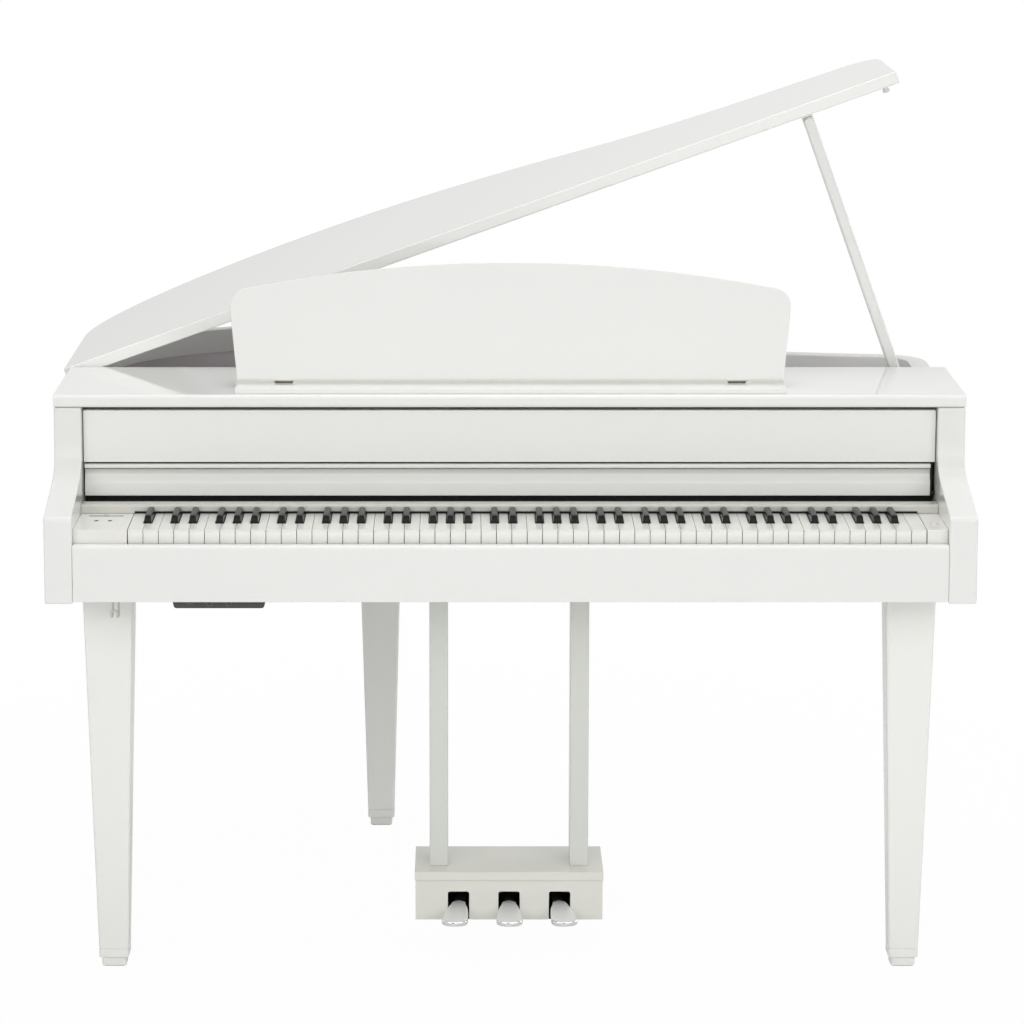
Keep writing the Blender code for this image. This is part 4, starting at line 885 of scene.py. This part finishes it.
def whiteHeadShape(v):
    # the block under the plate that the eye meets from the front, its edges rounded
    shape = bmesh.new()
    half = v.seenGap / 2 + v.inset
    addBlock(shape, (half, v.lip, -v.headHeight),
             (v.pitch - half, v.headLength - v.inset, -v.plate - 0.00002))
    bmesh.ops.bevel(shape, geom=shape.edges[:], offset=v.softEdge, segments=2,
                    profile=0.5, affect="EDGES")
    bmesh.ops.recalc_face_normals(shape, faces=shape.faces)
    return shape


def blackKeyShape(v):
    # rings from the sloped front back to the strip, with round shoulders
    top = v.blackHeight
    low = -v.blackDrop
    length = v.blackEnd - v.blackFront
    rings = []
    slope = [(0.0, 0.0004), (0.0003, 0.0030), (0.0012, 0.0078), (0.0022, 0.0104), (0.0034, 0.0115),
             (0.0052, 0.0119), (0.0085, top), (length - 0.004, top), (length - 0.0012, top - 0.0003),
             (length - 0.0003, top - 0.0012), (length, top - 0.0030)]
    for along, height in slope:
        share = max(0.0, (height + v.blackDrop) / (top + v.blackDrop))
        halfLow = v.blackBase / 2
        halfTop = halfLow + (v.blackTop / 2 - halfLow) * max(0.0, height / top)
        pinch = v.frontPinch if along == 0 else 0.0
        r = min(v.shoulder, max(0.0004, height * 0.42))
        ring = [(halfLow - pinch, along, low), (halfLow - pinch, along, 0.0)]
        ring += [(halfTop - r - pinch + r * cos(radians(a)), along,
                  height - r + r * sin(radians(a))) for a in (0, 22, 45, 67, 90)]
        ring += [(-x, y, z) for x, y, z in reversed(ring)]
        rings.append(ring)
    shape = lofted(rings)
    bmesh.ops.recalc_face_normals(shape, faces=shape.faces)
    return shape


def makeKeys(v):
    starts = [0] + [9 + 7 * octave for octave in range(6)]
    ends = starts[1:] + [v.count]
    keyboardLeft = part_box("white_keys_1")[0].x - v.gap / 2
    notch = v.blackBase / 2 + v.notchGap
    for number, (start, end) in enumerate(zip(starts, ends), 1):
        white = bmesh.new()
        capPlaces = []
        for key in range(start, end):
            note = (key + 5) % 7
            left = keyboardLeft + key * v.pitch
            right = left + v.pitch
            tailLeft, tailRight = left + v.seenGap / 2, right - v.seenGap / 2
            before, after = blackShift((note - 1) % 7), blackShift(note)
            if before is not None and key > 0:
                tailLeft = left + before + notch
            if after is not None and key < v.count - 1:
                tailRight = right + after - notch
                capPlaces.append((right + after, depthY(v.blackFront), plan.keyTop))
            whiteKeyTop(white, left, tailLeft, tailRight, v)
        whiteNode, blackNode = f"white_keys_{number}", f"black_keys_{number}"
        addPiece(f"whiteKeys{number}", white, "whiteKey", whiteNode, whiteNode,
                 v.softEdge, 2)
        first, top = keyboardLeft + start * v.pitch, plan.keyTop
        bakeCopies(f"whiteHeads{number}", "row", whiteHeadShape(v), "whiteKey", whiteNode,
                   slot="white_key", count=end - start, start=(first, depthY(v.front), top),
                   step=(v.pitch, 0.0, 0.0))
        low, high = first + v.gap / 2, keyboardLeft + end * v.pitch - v.gap / 2
        rail = blockShape([((low, depthY(v.railFront), top - v.thickness),
                            (high, depthY(v.railRear), top))])
        addPiece(f"whiteRail{number}", rail, "dampFelt", whiteNode, soft=0.0006, steps=2)
        bakeCopies(f"blackKeys{number}", "places", blackKeyShape(v), "blackKey", blackNode,
                   capPlaces, blackNode, "black_key", 32)
        armLow, armHalf = top - v.blackDrop, v.armWidth / 2
        blocks = [((low, depthY(v.railFront), armLow),
                   (high, depthY(v.railRear), armLow + v.armHeight))]
        for x, y, z in capPlaces:
            blocks.append(((x - armHalf, depthY(v.blackEnd - 0.001), armLow),
                           (x + armHalf, depthY(v.railFront + 0.001), armLow + v.armHeight)))
        addPiece(f"blackRail{number}", blockShape(blocks), "darkPlastic", blackNode, soft=0.0006,
                 steps=2)


makeKeys(keyValues)
addPiece("keyFrame", cadShape("key_frame"), "darkPlastic", "case", "key_frame", 0.0008, 2)
print("keys made")


# blocks beside the keys, and their controls
blockValues = Values(
    edge=0.0009, markDepth=0.066, markX=(-0.656, -0.641, -0.632, -0.619, -0.605),
    markRadius=0.0024, slotX=-0.63035, slotHalf=0.0258, slotSink=0.0003, slotRim=0.0011,
    rimRise=0.00015, buttonRound=0.0005, collarWidth=0.0012, collarRise=0.00025, knobRibs=5,
    ribPitch=0.0012)


def makeBlocks(v):
    for side in ("left", "right"):
        addPiece(side + "KeyBlock", cadShape(side + "_key_block"), "paleBlock", "case",
                 side + "_key_block", v.edge, 3)
    mark = turnedShape([(v.markRadius, 0), (v.markRadius, 0.00008),
                        (v.markRadius * 0.84, 0.00014), (v.markRadius * 0.80, 0.00006)], 24)
    places = [(x, depthY(v.markDepth), plan.keyTop) for x in v.markX]
    bakeCopies("touchMarks", "places", mark, "paleMark", "case", places)
    for node, title, look, slot in (("panel_button_1", "panelButtonOne", "greyButton", "button"),
                                    ("panel_button_2", "panelButtonTwo", "greyButton", "button"),
                                    ("power_button", "powerButton", "whiteKey", "white_key")):
        low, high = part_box(node)
        middle, radius, rise = (low + high) / 2, (high.x - low.x) / 2, v.buttonRound
        profile = [(radius, low.z), (radius, high.z - rise)]
        profile += arcPoints((radius - rise, high.z - rise), rise, 30, 90, 2)
        profile += [(radius * 0.72, high.z), (radius * 0.45, high.z - 0.00035),
                    (radius * 0.1, high.z - 0.0005)]
        addPiece(title, turnedShape(profile, 40, (middle.x, middle.y, 0)), look, node, node,
                 keepAngle=50)
        near = radius + 0.0004
        far = near + v.collarWidth
        ring = turnedShape([(near, 0), (far, 0), (far - 0.0002, v.collarRise),
                            (near + 0.0002, v.collarRise), (near, 0)], 40)
        moved(ring, Matrix.Translation((middle.x, middle.y, plan.keyTop + 0.00002)))
        addPiece(title + "Collar", ring, "paleMark", "case", keepAngle=50)
    addPiece("volumeKnob", cadShape("volume_slider"), "paleKnob", "volume_slider", "volume_slider",
             0.0005, 3)
    low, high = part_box("volume_slider")
    x1, x2 = v.slotX - v.slotHalf, v.slotX + v.slotHalf
    well = blockShape([((x1, low.y + 0.0022, plan.keyTop - 0.0030),
                        (x2, high.y - 0.0022, plan.keyTop - v.slotSink))])
    addPiece("volumeSlotFloor", well, "slotBrown", "case", soft=0.0002, steps=1)
    y1, y2, rim = low.y + 0.0020, high.y - 0.0020, v.slotRim
    base = plan.keyTop + 0.00005
    crest = base + v.rimRise
    frames = blockShape([((x1 - rim, y1 - rim, base), (x2 + rim, y1, crest)),
                         ((x1 - rim, y2, base), (x2 + rim, y2 + rim, crest)),
                         ((x1 - rim, y1 + 0.0001, base), (x1, y2 - 0.0001, crest)),
                         ((x2, y1 + 0.0001, base), (x2 + rim, y2 - 0.0001, crest))])
    addPiece("volumeSlotRim", frames, "slotBrown", "case")
    rib = blockShape([((-0.00025, -0.0026, -0.0002), (0.00025, 0.0026, 0.0002))])
    bakeCopies("volumeKnobRibs", "row", rib, "paleKnob", "volume_slider",
               start=((low.x + high.x) / 2 - v.ribPitch * (v.knobRibs - 1) / 2,
                      (low.y + high.y) / 2, high.z), count=v.knobRibs, step=(v.ribPitch, 0.0, 0.0))


makeBlocks(blockValues)

# music desk
deskValues = Values(
    lean=20.0, bottomHalf=0.433, cornerHalf=0.446, cornerHeight=0.1545, cornerRadius=0.030,
    centreHeight=0.1955, front=0.0065, back=0.0020, low=0.0037, edge=0.0016, stripGap=0.0012,
    stripDepth=0.0016, stripHeight=0.0052, hingePlate=0.0015, barrelRadius=0.0034,
    barrelCount=5, screwRadius=0.0024, screwHeight=0.0005, screwInset=0.0100)


def makeDesk(v):
    pivot = jointPlace("desk_fold")
    half, radius = v.cornerHalf, v.cornerRadius
    rise = v.centreHeight - v.cornerHeight
    span = half - radius
    bow = (span * span + rise * rise) / (2 * rise)
    edge = degrees(asin(span / bow))
    crown = arcPoints((0, v.centreHeight - bow), bow, 90 - edge, 90 + edge, 64)
    right = arcPoints((span, crown[0][1] - radius), radius, 0, 84, 14)
    outline = [(-v.bottomHalf, v.low), (v.bottomHalf, v.low)]
    outline += right + crown[1:-1] + [(-x, z) for x, z in reversed(right)]
    turn = Matrix.Translation(pivot) @ Matrix.Rotation(-radians(v.lean), 4, "X")
    board = moved(extruded(outline, 1, -v.front, v.back), turn)
    addPiece("musicDesk", board, "whiteLacquer", "music_desk", "music_desk", v.edge)
    addPiece("deskStrut", cadShape("desk_strut"), "whiteFront", "desk_strut", "desk_strut",
             keepAngle=30)
    addPiece("deskLedge", cadShape("desk_ledge"), "whiteLacquer", "case", "desk_ledge",
             keepAngle=50)
    # the strip behind the ledge takes the painted-shade khaki: it stands for the shaded band along
    # the desk's foot
    low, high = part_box("desk_ledge")  # a low strip behind the ledge keeps sheets off the hinges
    stops = [low.x + 0.001]
    for node in ("left_desk_hinge", "right_desk_hinge"):
        stops += [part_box(node)[0].x - 0.001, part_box(node)[1].x + 0.001]
    stops.append(high.x - 0.001)
    near = high.y + v.stripGap
    strip = blockShape([((a, near, low.z), (b, near + v.stripDepth, high.z + v.stripHeight))
                        for a, b in zip(stops[::2], stops[1::2])])
    addPiece("deskRestStrip", strip, "coveKhaki", "case", soft=0.0005, steps=2)
    for side in ("left", "right"):
        node = side + "_desk_hinge"
        low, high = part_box(node)
        plate = blockShape([((low.x, pivot.y, low.z), (high.x, high.y, low.z + v.hingePlate)),
                            ((low.x, pivot.y - 0.001, low.z), (high.x, pivot.y + 0.001, pivot.z))])
        addPiece(side + "DeskHingePlate", plate, "agedBronze", "case", node, 0.0003, 2)
        length = (high.x - low.x) / v.barrelCount
        barrel = pinShape(v.barrelRadius, 0, length - 0.0003, 0.0003, 0.0003, 24)
        bakeCopies(side + "DeskHingeKnuckles", "row", barrel, "agedBronze", "case",
                   start=(low.x, pivot.y, pivot.z), step=(length, 0.0, 0.0),
                   count=v.barrelCount)
        bakeCopies(side + "DeskHingeScrews", "row", screwShape(v.screwRadius, v.screwHeight),
                   "agedBronze", "case",
                   start=(low.x + length, pivot.y + v.screwInset, low.z + v.hingePlate),
                   step=(length * 1.5, 0.0, 0.0), count=3)


makeDesk(deskValues)
print("desk and controls made")


# legs
legValues = Values(
    topWidth=0.0800, bossWidth=0.0600, footWidth=0.0475, taperEnd=0.030, ringTop=0.028,
    ringBottom=0.016, soleWidth=0.039, groove=0.0015, corner=0.004, frontDepth=0.204, rearX=-0.222,
    rearDepth=1.031)


def makeLeg(name, node, x, depth, look, v):
    waist = v.footWidth - 2 * v.groove
    top = plan.keybedBottom - plan.seatGap
    shoulder = plan.armBottom
    levels = [(0.0020, v.soleWidth), (v.ringBottom - 0.0012, v.soleWidth),
              (v.ringBottom - 0.0004, v.footWidth - 0.0016),
              (v.ringBottom + 0.0006, v.footWidth),
              (v.ringTop - 0.0006, v.footWidth),
              (v.ringTop, v.footWidth - 0.0010),
              (v.ringTop + 0.0002, waist), (v.taperEnd - 0.0002, waist),
              (v.taperEnd, v.footWidth - 0.0010),
              (v.taperEnd + 0.0007, v.footWidth)]
    for share in (0.25, 0.5, 0.75, 0.998):
        height = v.taperEnd + (shoulder - 0.0003 - v.taperEnd) * share
        levels.append((height, v.footWidth + (v.topWidth - v.footWidth) * share))
    levels += [(shoulder - 0.0002, v.topWidth - 0.0008), (shoulder, v.bossWidth),
               (top, v.bossWidth)]
    rings = []
    for height, width in levels:
        rings.append([(x + px, depthY(depth) + py, height)
                      for px, py in roundedRing(width / 2, width / 2, v.corner, 6)])
    addPiece(name, lofted(rings), look, "case", node, keepAngle=28)
    sole = [[(x + px, depthY(depth) + py, height) for px, py in roundedRing(w / 2, w / 2, 0.004, 6)]
            for height, w in ((0.0, 0.0350), (0.0006, 0.0368), (0.0018, 0.0372), (0.0020, 0.0372))]
    addPiece(name + "Glide", lofted(sole), "soleNylon", "case", keepAngle=40)


frontX = (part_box("front_right_leg")[0].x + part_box("front_right_leg")[1].x) / 2
# the front legs take the painted-light copy of the lacquer, the rear leg the plain one
for name, node, x, depth, look in (
        ("frontLeftLeg", "front_left_leg", -frontX, legValues.frontDepth, "legWhite"),
        ("frontRightLeg", "front_right_leg", frontX, legValues.frontDepth, "legWhite"),
        ("rearLeg", "rear_leg", legValues.rearX, legValues.rearDepth, "whiteLacquer")):
    makeLeg(name, node, x, depth, look, legValues)

# lyre and pedals
lyreValues = Values(
    x=0.0015, postWidth=0.030, postDepth=0.070, slotTop=0.102, slotWidth=0.0345,
    slotCorner=0.0035, slotRear=0.365, spacing=0.082, play=0.0012, frontThickness=0.012,
    edge=0.0009, slabEdge=0.0014, trayTop=0.0571, sidePlate=0.0009)


def makeLyre(v):
    for side in ("left", "right"):
        node = side + "_lyre_post"
        low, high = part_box(node)
        middle = (low + high) / 2
        rings = [[(middle.x + px, middle.y + py, height)
                  for px, py in roundedRing(v.postWidth / 2, v.postDepth / 2, 0.002, 4)]
                 for height in (low.z, (low.z + high.z) / 2, high.z)]
        addPiece(side + "LyrePost", lofted(rings), "whiteLyre", "case", node, keepAngle=40)
    addPiece("lyreSlab", blockShape([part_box("lyre_top")]), "creamLyre", "case", "lyre_top",
             v.slabEdge)
    low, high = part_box("pedal_box")
    front, rear, slotRear = low.y, high.y, depthY(v.slotRear)
    top, bottom, r, inner = high.z, low.z, v.slotCorner, front + v.frontThickness
    outline, edges = [(low.x, bottom)], [low.x]
    for number in (-1, 0, 1):
        middle = v.x + number * v.spacing
        left, right = middle - v.slotWidth / 2, middle + v.slotWidth / 2
        outline += [(left, bottom)] + arcPoints((left + r, v.slotTop - r), r, 180, 90, 6)
        outline += arcPoints((right - r, v.slotTop - r), r, 90, 0, 6) + [(right, bottom)]
        edges += [left - v.play, right + v.play]
    outline += [(high.x, bottom), (high.x, top), (low.x, top)]
    edges.append(high.x)
    addPiece("pedalBoxFront", extruded(outline, 1, front, inner), "creamLyre", "case", "pedal_box",
             v.edge, 3)
    shell = blockShape([((low.x, inner + 0.0002, v.slotTop + 0.0035), (high.x, rear, top)),
                        ((low.x, slotRear + 0.0025, bottom), (high.x, rear, v.slotTop + 0.0030))])
    addPiece("pedalBoxShell", shell, "creamLyre", "case", soft=0.0010, steps=2)
    cheeks = blockShape([((a, inner + 0.0002, bottom), (b, slotRear + 0.003, v.slotTop + 0.004))
                         for a, b in zip(edges[::2], edges[1::2])])
    addPiece("pedalBoxCheeks", cheeks, "creamLyre", "case", soft=0.0004, steps=1)
    slots, roof = list(zip(edges[1::2], edges[2::2])), v.slotTop + 0.003
    lining = [((a, slotRear, bottom + 0.001), (b, slotRear + 0.002, roof)) for a, b in slots]
    lining += [((a, inner + 0.0005, v.slotTop), (b, slotRear, roof)) for a, b in slots]
    lining += [((a, front + 0.0025, bottom + 0.0002), (b, slotRear, v.trayTop)) for a, b in slots]
    lining += [((x, inner + 0.0005, bottom + 0.0003), (x + v.sidePlate, slotRear, roof))
               for a, b in slots for x in (a, b - v.sidePlate)]
    addPiece("pedalSlotFelt", blockShape(lining), "slotFelt", "case", soft=0.0004,
             steps=1)
    addPiece("pedalAxle", cadShape("pedal_shaft"), "dullSteel", "case", "pedal_shaft",
             keepAngle=40)


makeLyre(lyreValues)

pedalValues = Values(
    shaftDepth=0.345, boxFront=0.258, neck=0.026, tip=0.0418, tipDepth=0.165, nose=0.016,
    thickness=0.0115, edge=0.0030, crown=0.0010, fall=0.0022, inside=0.014, tail=0.010,
    armHalf=0.0085, armTop=0.0012, hubRadius=0.0105, hubWidth=0.020, hubShift=0.00675,
    noseRound=0.80, noseFullness=2.6)


def makePedal(name, node, side, v):
    # a chrome cap with a round tail just inside the box, on a dark arm from the axle
    pivot = jointPlace(node + "_press")
    reach = v.shaftDepth - v.boxFront
    splay = side * atan(v.hubShift / reach)
    length = v.shaftDepth - v.tipDepth
    neck, tip = v.neck / 2, v.tip / 2
    tailStart = reach - v.inside
    stations = []
    for step in range(11):
        angle = radians(90 * (0.6 + 9.4 * step / 10) / 10)
        stations.append((tailStart + v.tail * (1 - cos(angle)), neck * sin(angle)))
    roundStart = length - v.nose
    waist = tailStart + v.tail + 0.002
    for step in range(15):
        share = step / 14
        stations.append((waist + (roundStart - waist) * share,
                         neck + (tip - neck) * (1 - (1 - share) ** 1.6)))
    for step in range(1, 15):
        angle = radians(90 * step / 14.2)
        share = sin(angle)
        stations.append((roundStart + v.nose * share,
                         tip * max(0.03, 1 - share ** v.noseFullness) ** (1 / v.noseFullness)))
    turn = Matrix.Translation(pivot) @ Matrix.Rotation(splay, 4, "Z")
    rings = []
    for along, half in stations:
        edge = min(v.edge, half * 0.75)
        tipShare = min(1.0, max(0.0, (along - roundStart) / v.nose))
        flat = 1 - v.noseRound * (1 - sqrt(1 - tipShare * tipShare))
        ring = []
        for x, z in roundedRing(half, v.thickness / 2, edge, 5):
            if z > 0:
                outside = max(0.0, along - reach) / (length - reach)
                z += v.crown * (max(0.0, 1 - (x / half) ** 2) - 1)
                z -= v.fall * outside ** 1.6
            ring.append((x, -along, z * flat if z > 0 else z))
        rings.append(ring)
    piece = addPiece(name, moved(lofted(rings), turn), ["chromePlate", "pedalTopPaintedSheen"], node, node,
                     keepAngle=46)
    # faces turned up take the painted sheen; the rest stay chrome
    for face in piece.data.polygons:
        face.material_index = 1 if face.normal.z > 0.93 else 0
    armHalf, low = v.armHalf, -v.thickness / 2 + 0.0012
    arm = blockShape([((-armHalf, -(reach - 0.003), low), (armHalf, 0.0, v.armTop))])
    addPiece(name + "Arm", moved(arm, turn), "darkPlastic", node, soft=0.0010, steps=2)
    hubHalf = v.hubWidth / 2
    hub = pinShape(v.hubRadius, -hubHalf, hubHalf, 0.0008, 0.0008, 32)
    addPiece(name + "Hub", moved(hub, turn), "darkPlastic", node, keepAngle=40)


for side, name in enumerate(("soft", "sostenuto", "damper"), -1):
    makePedal(name + "Pedal", name + "_pedal", side, pedalValues)
print("legs, lyre and pedals made")


# jack box and headphone hook
jackValues = Values(
    edge=0.0010, corner=0.0050, lean=0.0022, socketRadius=0.0036, socketSpacing=0.030)


def makeJackBox(v):
    low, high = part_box("jack_box")
    middle = (low + high) / 2
    round, lean = v.corner, v.lean
    outline = [(high.x, high.z), (low.x, high.z)]
    outline[1:1] = (arcPoints((high.x - lean - round, low.z + round), round, 0, -90, 8)
                    + arcPoints((low.x + lean + round, low.z + round), round, 270, 180, 8))
    addPiece("jackBox", extruded(outline, 1, low.y, high.y), "darkPlastic", "case", "jack_box",
             v.edge, 3)
    r = v.socketRadius
    ring = turnedShape([(r, 0.0004), (r, -0.0002), (r + 0.0004, -0.0006), (r + 0.0011, -0.0006),
                        (r + 0.0014, -0.0002), (r + 0.0014, 0.0004)], 32, axis=1)
    height = high.z - 0.008
    places = [(middle.x + s * v.socketSpacing, low.y, height) for s in (-0.5, 0.5)]
    bakeCopies("socketRings", "places", ring, "greyButton", "case", places)
    port = bmesh.new()
    for x0, z0, x1, z1 in ((-0.0066, -0.0028, 0.0066, -0.0022), (-0.0066, 0.0022, 0.0066, 0.0028),
                           (-0.0066, -0.0022, -0.0060, 0.0022), (0.0060, -0.0022, 0.0066, 0.0022),
                           (-0.0048, -0.0006, 0.0048, 0.0004)):
        addBlock(port, (x0, -0.0004, z0), (x1, 0.0004, z1))
    bakeCopies("dataPort", "places", port, "greyButton", "case",
               [(middle.x - 0.045, low.y + 0.0001, height)])


makeJackBox(jackValues)

hookValues = Values(
    depth=0.120, wire=0.0016, drop=0.046, reach=0.028, tipRise=0.012, width=0.0095, smoothness=5,
    sides=14)


def makeHook(v):
    low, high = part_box("headphone_hook")
    left = low.x + v.wire
    top = high.z
    y = depthY(v.depth)
    base = top - v.drop
    front = y - v.reach
    halfPath = [(left, y, top), (left, y, base + 0.008), (left, y - 0.003, base + 0.0025),
                (left, y - 0.009, base), (left, front + 0.006, base + 0.001),
                (left, front + 0.001, base + 0.005), (left, front, base + v.tipRise - 0.003)]
    w = v.width
    crest = [(left + w * 0.2, front - 0.0005, base + v.tipRise),
             (left + w * 0.5, front - 0.0008, base + v.tipRise + 0.0015),
             (left + w * 0.8, front - 0.0005, base + v.tipRise)]
    knots = [Vector(p) for p in halfPath + crest]
    knots += [Vector((x + w, py, pz)) for x, py, pz in reversed(halfPath)]
    path = []
    for i in range(len(knots) - 1):
        before, after = knots[max(i - 1, 0)], knots[min(i + 2, len(knots) - 1)]
        a, b = knots[i], knots[i + 1]
        for step in range(v.smoothness):
            t = step / v.smoothness
            path.append(0.5 * (2 * a + (b - before) * t + (2 * before - 5 * a + 4 * b - after) * t * t
                               + (3 * a - before - 3 * b + after) * t**3))
    path.append(knots[-1])
    bakeWire("headphoneHook", path, v.wire, v.sides, "clearWire", "case", "headphone_hook")


makeHook(hookValues)

# inside the case and under it
addPiece("circuitBoard", cadShape("circuit_board"), "circuitGreen", "case", "circuit_board",
         0.0004, 2)
for side in ("left", "right"):
    addPiece(side + "Speaker", cadShape(side + "_speaker"), "darkPlastic", "case",
             side + "_speaker", keepAngle=30)

underValues = Values(
    screwRadius=0.0042, screwHeight=0.0012, screwPitch=0.150, screwStart=-0.600, screwCount=9,
    frontDepth=0.045, rearDepth=0.430, inset=0.030, baseFront=0.50, everyPoint=9)


def makeUnderScrews(v):
    # the screws that hold the keybed and the base board, seen from below
    down = (pi, 0.0, 0.0)
    z = plan.keybedBottom
    for name, depth in (("keybedScrewsFront", v.frontDepth),
                        ("keybedScrewsRear", v.rearDepth)):
        bakeCopies(name, "row", screwShape(v.screwRadius, v.screwHeight), "dullSteel", "case",
                   start=(v.screwStart, depthY(depth), z), step=(v.screwPitch, 0.0, 0.0),
                   count=v.screwCount, turn=down)
    wall = rimValues.lidOverhang + rimValues.thickness + rimValues.ledge
    outline = planCurve(rimValues, wall + v.inset, v.baseFront)
    places = [(x, y, z) for x, y in outline[::v.everyPoint]]
    bakeCopies("baseScrews", "places", screwShape(v.screwRadius, v.screwHeight),
               "dullSteel", "case", places, turn=down)


makeUnderScrews(underValues)
print("small parts made")


# floor, world and lamps
stageValues = Values(
    floorRadius=9.0, fadeStart=0.9, fadeEnd=2.6, glow=0.975, mirroredGlow=0.15,
    floorColour=(0.80, 0.80, 0.80),
    skyLow=0.76, skyHigh=0.95, skyHighAt=0.55,              # what gloss mirrors, by height
    roomFront=(-0.15, -0.60), roomLow=(0.04, 0.26), roomEnd=0.75,  # the room's dark low front
    skyDiffuse=0.62)                                        # share of it that lights the object


def ramp(tree, value, start, end, low, high, **settings):
    return addNode(tree, "ShaderNodeMapRange", {
        "Value": value, "From Min": start, "From Max": end, "To Min": low, "To Max": high},
        **settings).outputs[0]


def mixShaders(tree, amount, first, second):
    return addNode(tree, "ShaderNodeMixShader", {0: amount, 1: first, 2: second}).outputs[0]


def mirroredRay(tree, light):
    return mathNode(tree, "MAXIMUM", light["Is Glossy Ray"], light["Is Transmission Ray"])


def makeFloor(v):
    shape = bmesh.new()
    bmesh.ops.create_circle(shape, cap_ends=True, radius=v.floorRadius, segments=96)
    floor = placed("studioFloor", meshOf("studioFloor", shape))
    material = bpy.data.materials.new("paleFloor")
    material.use_nodes = True
    tree = material.node_tree
    paint = tree.nodes["Principled BSDF"]
    paint.inputs["Base Color"].default_value = (*v.floorColour, 1)
    paint.inputs["Roughness"].default_value = 0.9
    paint.inputs["Specular IOR Level"].default_value = 0.0
    glow = addNode(tree, "ShaderNodeEmission", {"Color": (1, 1, 1, 1), "Strength": 1.0}).outputs[0]
    place = addNode(tree, "ShaderNodeTexCoord").outputs["Object"]
    far = addNode(tree, "ShaderNodeVectorMath", {0: place}, operation="LENGTH").outputs["Value"]
    fade = ramp(tree, far, v.fadeStart, v.fadeEnd, v.glow, 1.0, interpolation_type="SMOOTHSTEP")
    light = addNode(tree, "ShaderNodeLightPath").outputs
    seen = mathNode(tree, "MAXIMUM", light["Is Camera Ray"],
                    mathNode(tree, "MULTIPLY", mirroredRay(tree, light), v.mirroredGlow))
    lit = mixShaders(tree, mathNode(tree, "MULTIPLY", fade, seen), paint.outputs[0], glow)
    clear = addNode(tree, "ShaderNodeBsdfTransparent").outputs[0]
    back = addNode(tree, "ShaderNodeNewGeometry").outputs["Backfacing"]
    hidden = mathNode(tree, "MULTIPLY", back, light["Is Camera Ray"])
    tree.links.new(mixShaders(tree, hidden, lit, clear),
                   tree.nodes["Material Output"].inputs["Surface"])
    floor.data.materials.append(material)


def makeWorld(v):
    # white to the camera, and a soft pale room for gloss, metal and light
    world = scene.world = bpy.data.worlds.new("studio")
    world.use_nodes = True
    tree = world.node_tree
    room = tree.nodes["Background"]
    parts = addNode(tree, "ShaderNodeSeparateXYZ", {
        0: addNode(tree, "ShaderNodeTexCoord").outputs["Generated"]}).outputs
    rise = ramp(tree, parts["Z"], 0.0, v.skyHighAt, v.skyLow, v.skyHigh)
    front = ramp(tree, parts["Y"], *v.roomFront, 0.0, v.roomEnd)
    low = ramp(tree, parts["Z"], *v.roomLow, 1.0, 0.0)
    dim = mathNode(tree, "SUBTRACT", 1.0, mathNode(tree, "MULTIPLY", front, low))
    light = addNode(tree, "ShaderNodeLightPath").outputs
    share = ramp(tree, mirroredRay(tree, light), 0.0, 1.0, v.skyDiffuse, 1.0)
    pale = mathNode(tree, "MULTIPLY", rise, dim)
    tree.links.new(mathNode(tree, "MULTIPLY", pale, share), room.inputs["Strength"])
    room.inputs["Color"].default_value = (1, 1, 1, 1)
    white = addNode(tree, "ShaderNodeBackground", {"Color": (1, 1, 1, 1), "Strength": 1.0})
    tree.links.new(mixShaders(tree, light["Is Camera Ray"], room.outputs[0], white.outputs[0]),
                   tree.nodes["World Output"].inputs["Surface"])


lampValues = {  # place, aim, width, height, power
    "frontLamp": ((-0.05, -3.10, 1.15), (0.0, 0.0, 0.75), 3.6, 1.2, 23),
    "keyLamp": ((-2.5, -4.8, 2.9), (0.0, 0.0, 0.75), 1.8, 1.8, 25),
    "fillLamp": ((2.6, -4.4, 2.3), (0.0, 0.0, 0.75), 2.0, 2.0, 25),
    "topLamp": ((0.1, 0.1, 4.2), (0.0, 0.0, 0.75), 1.8, 1.8, 42),
    "sideLamp": ((3.2, 1.0, 1.3), (0.0, 0.1, 1.0), 1.8, 1.4, 20),
}


def makeLamp(name, place, aim, width, height, power):
    data = bpy.data.lights.new(name, "AREA")
    data.shape = "RECTANGLE"
    data.size, data.size_y, data.energy = width, height, power
    lamp = placed(name, data)
    lamp.visible_camera = False
    lamp.location = place
    lamp.rotation_euler = (Vector(aim) - lamp.location).to_track_quat("-Z", "Y").to_euler()


makeFloor(stageValues)
makeWorld(stageValues)
for lampName, lampSettings in lampValues.items():
    makeLamp(lampName, *lampSettings)
print("stage and lamps made")
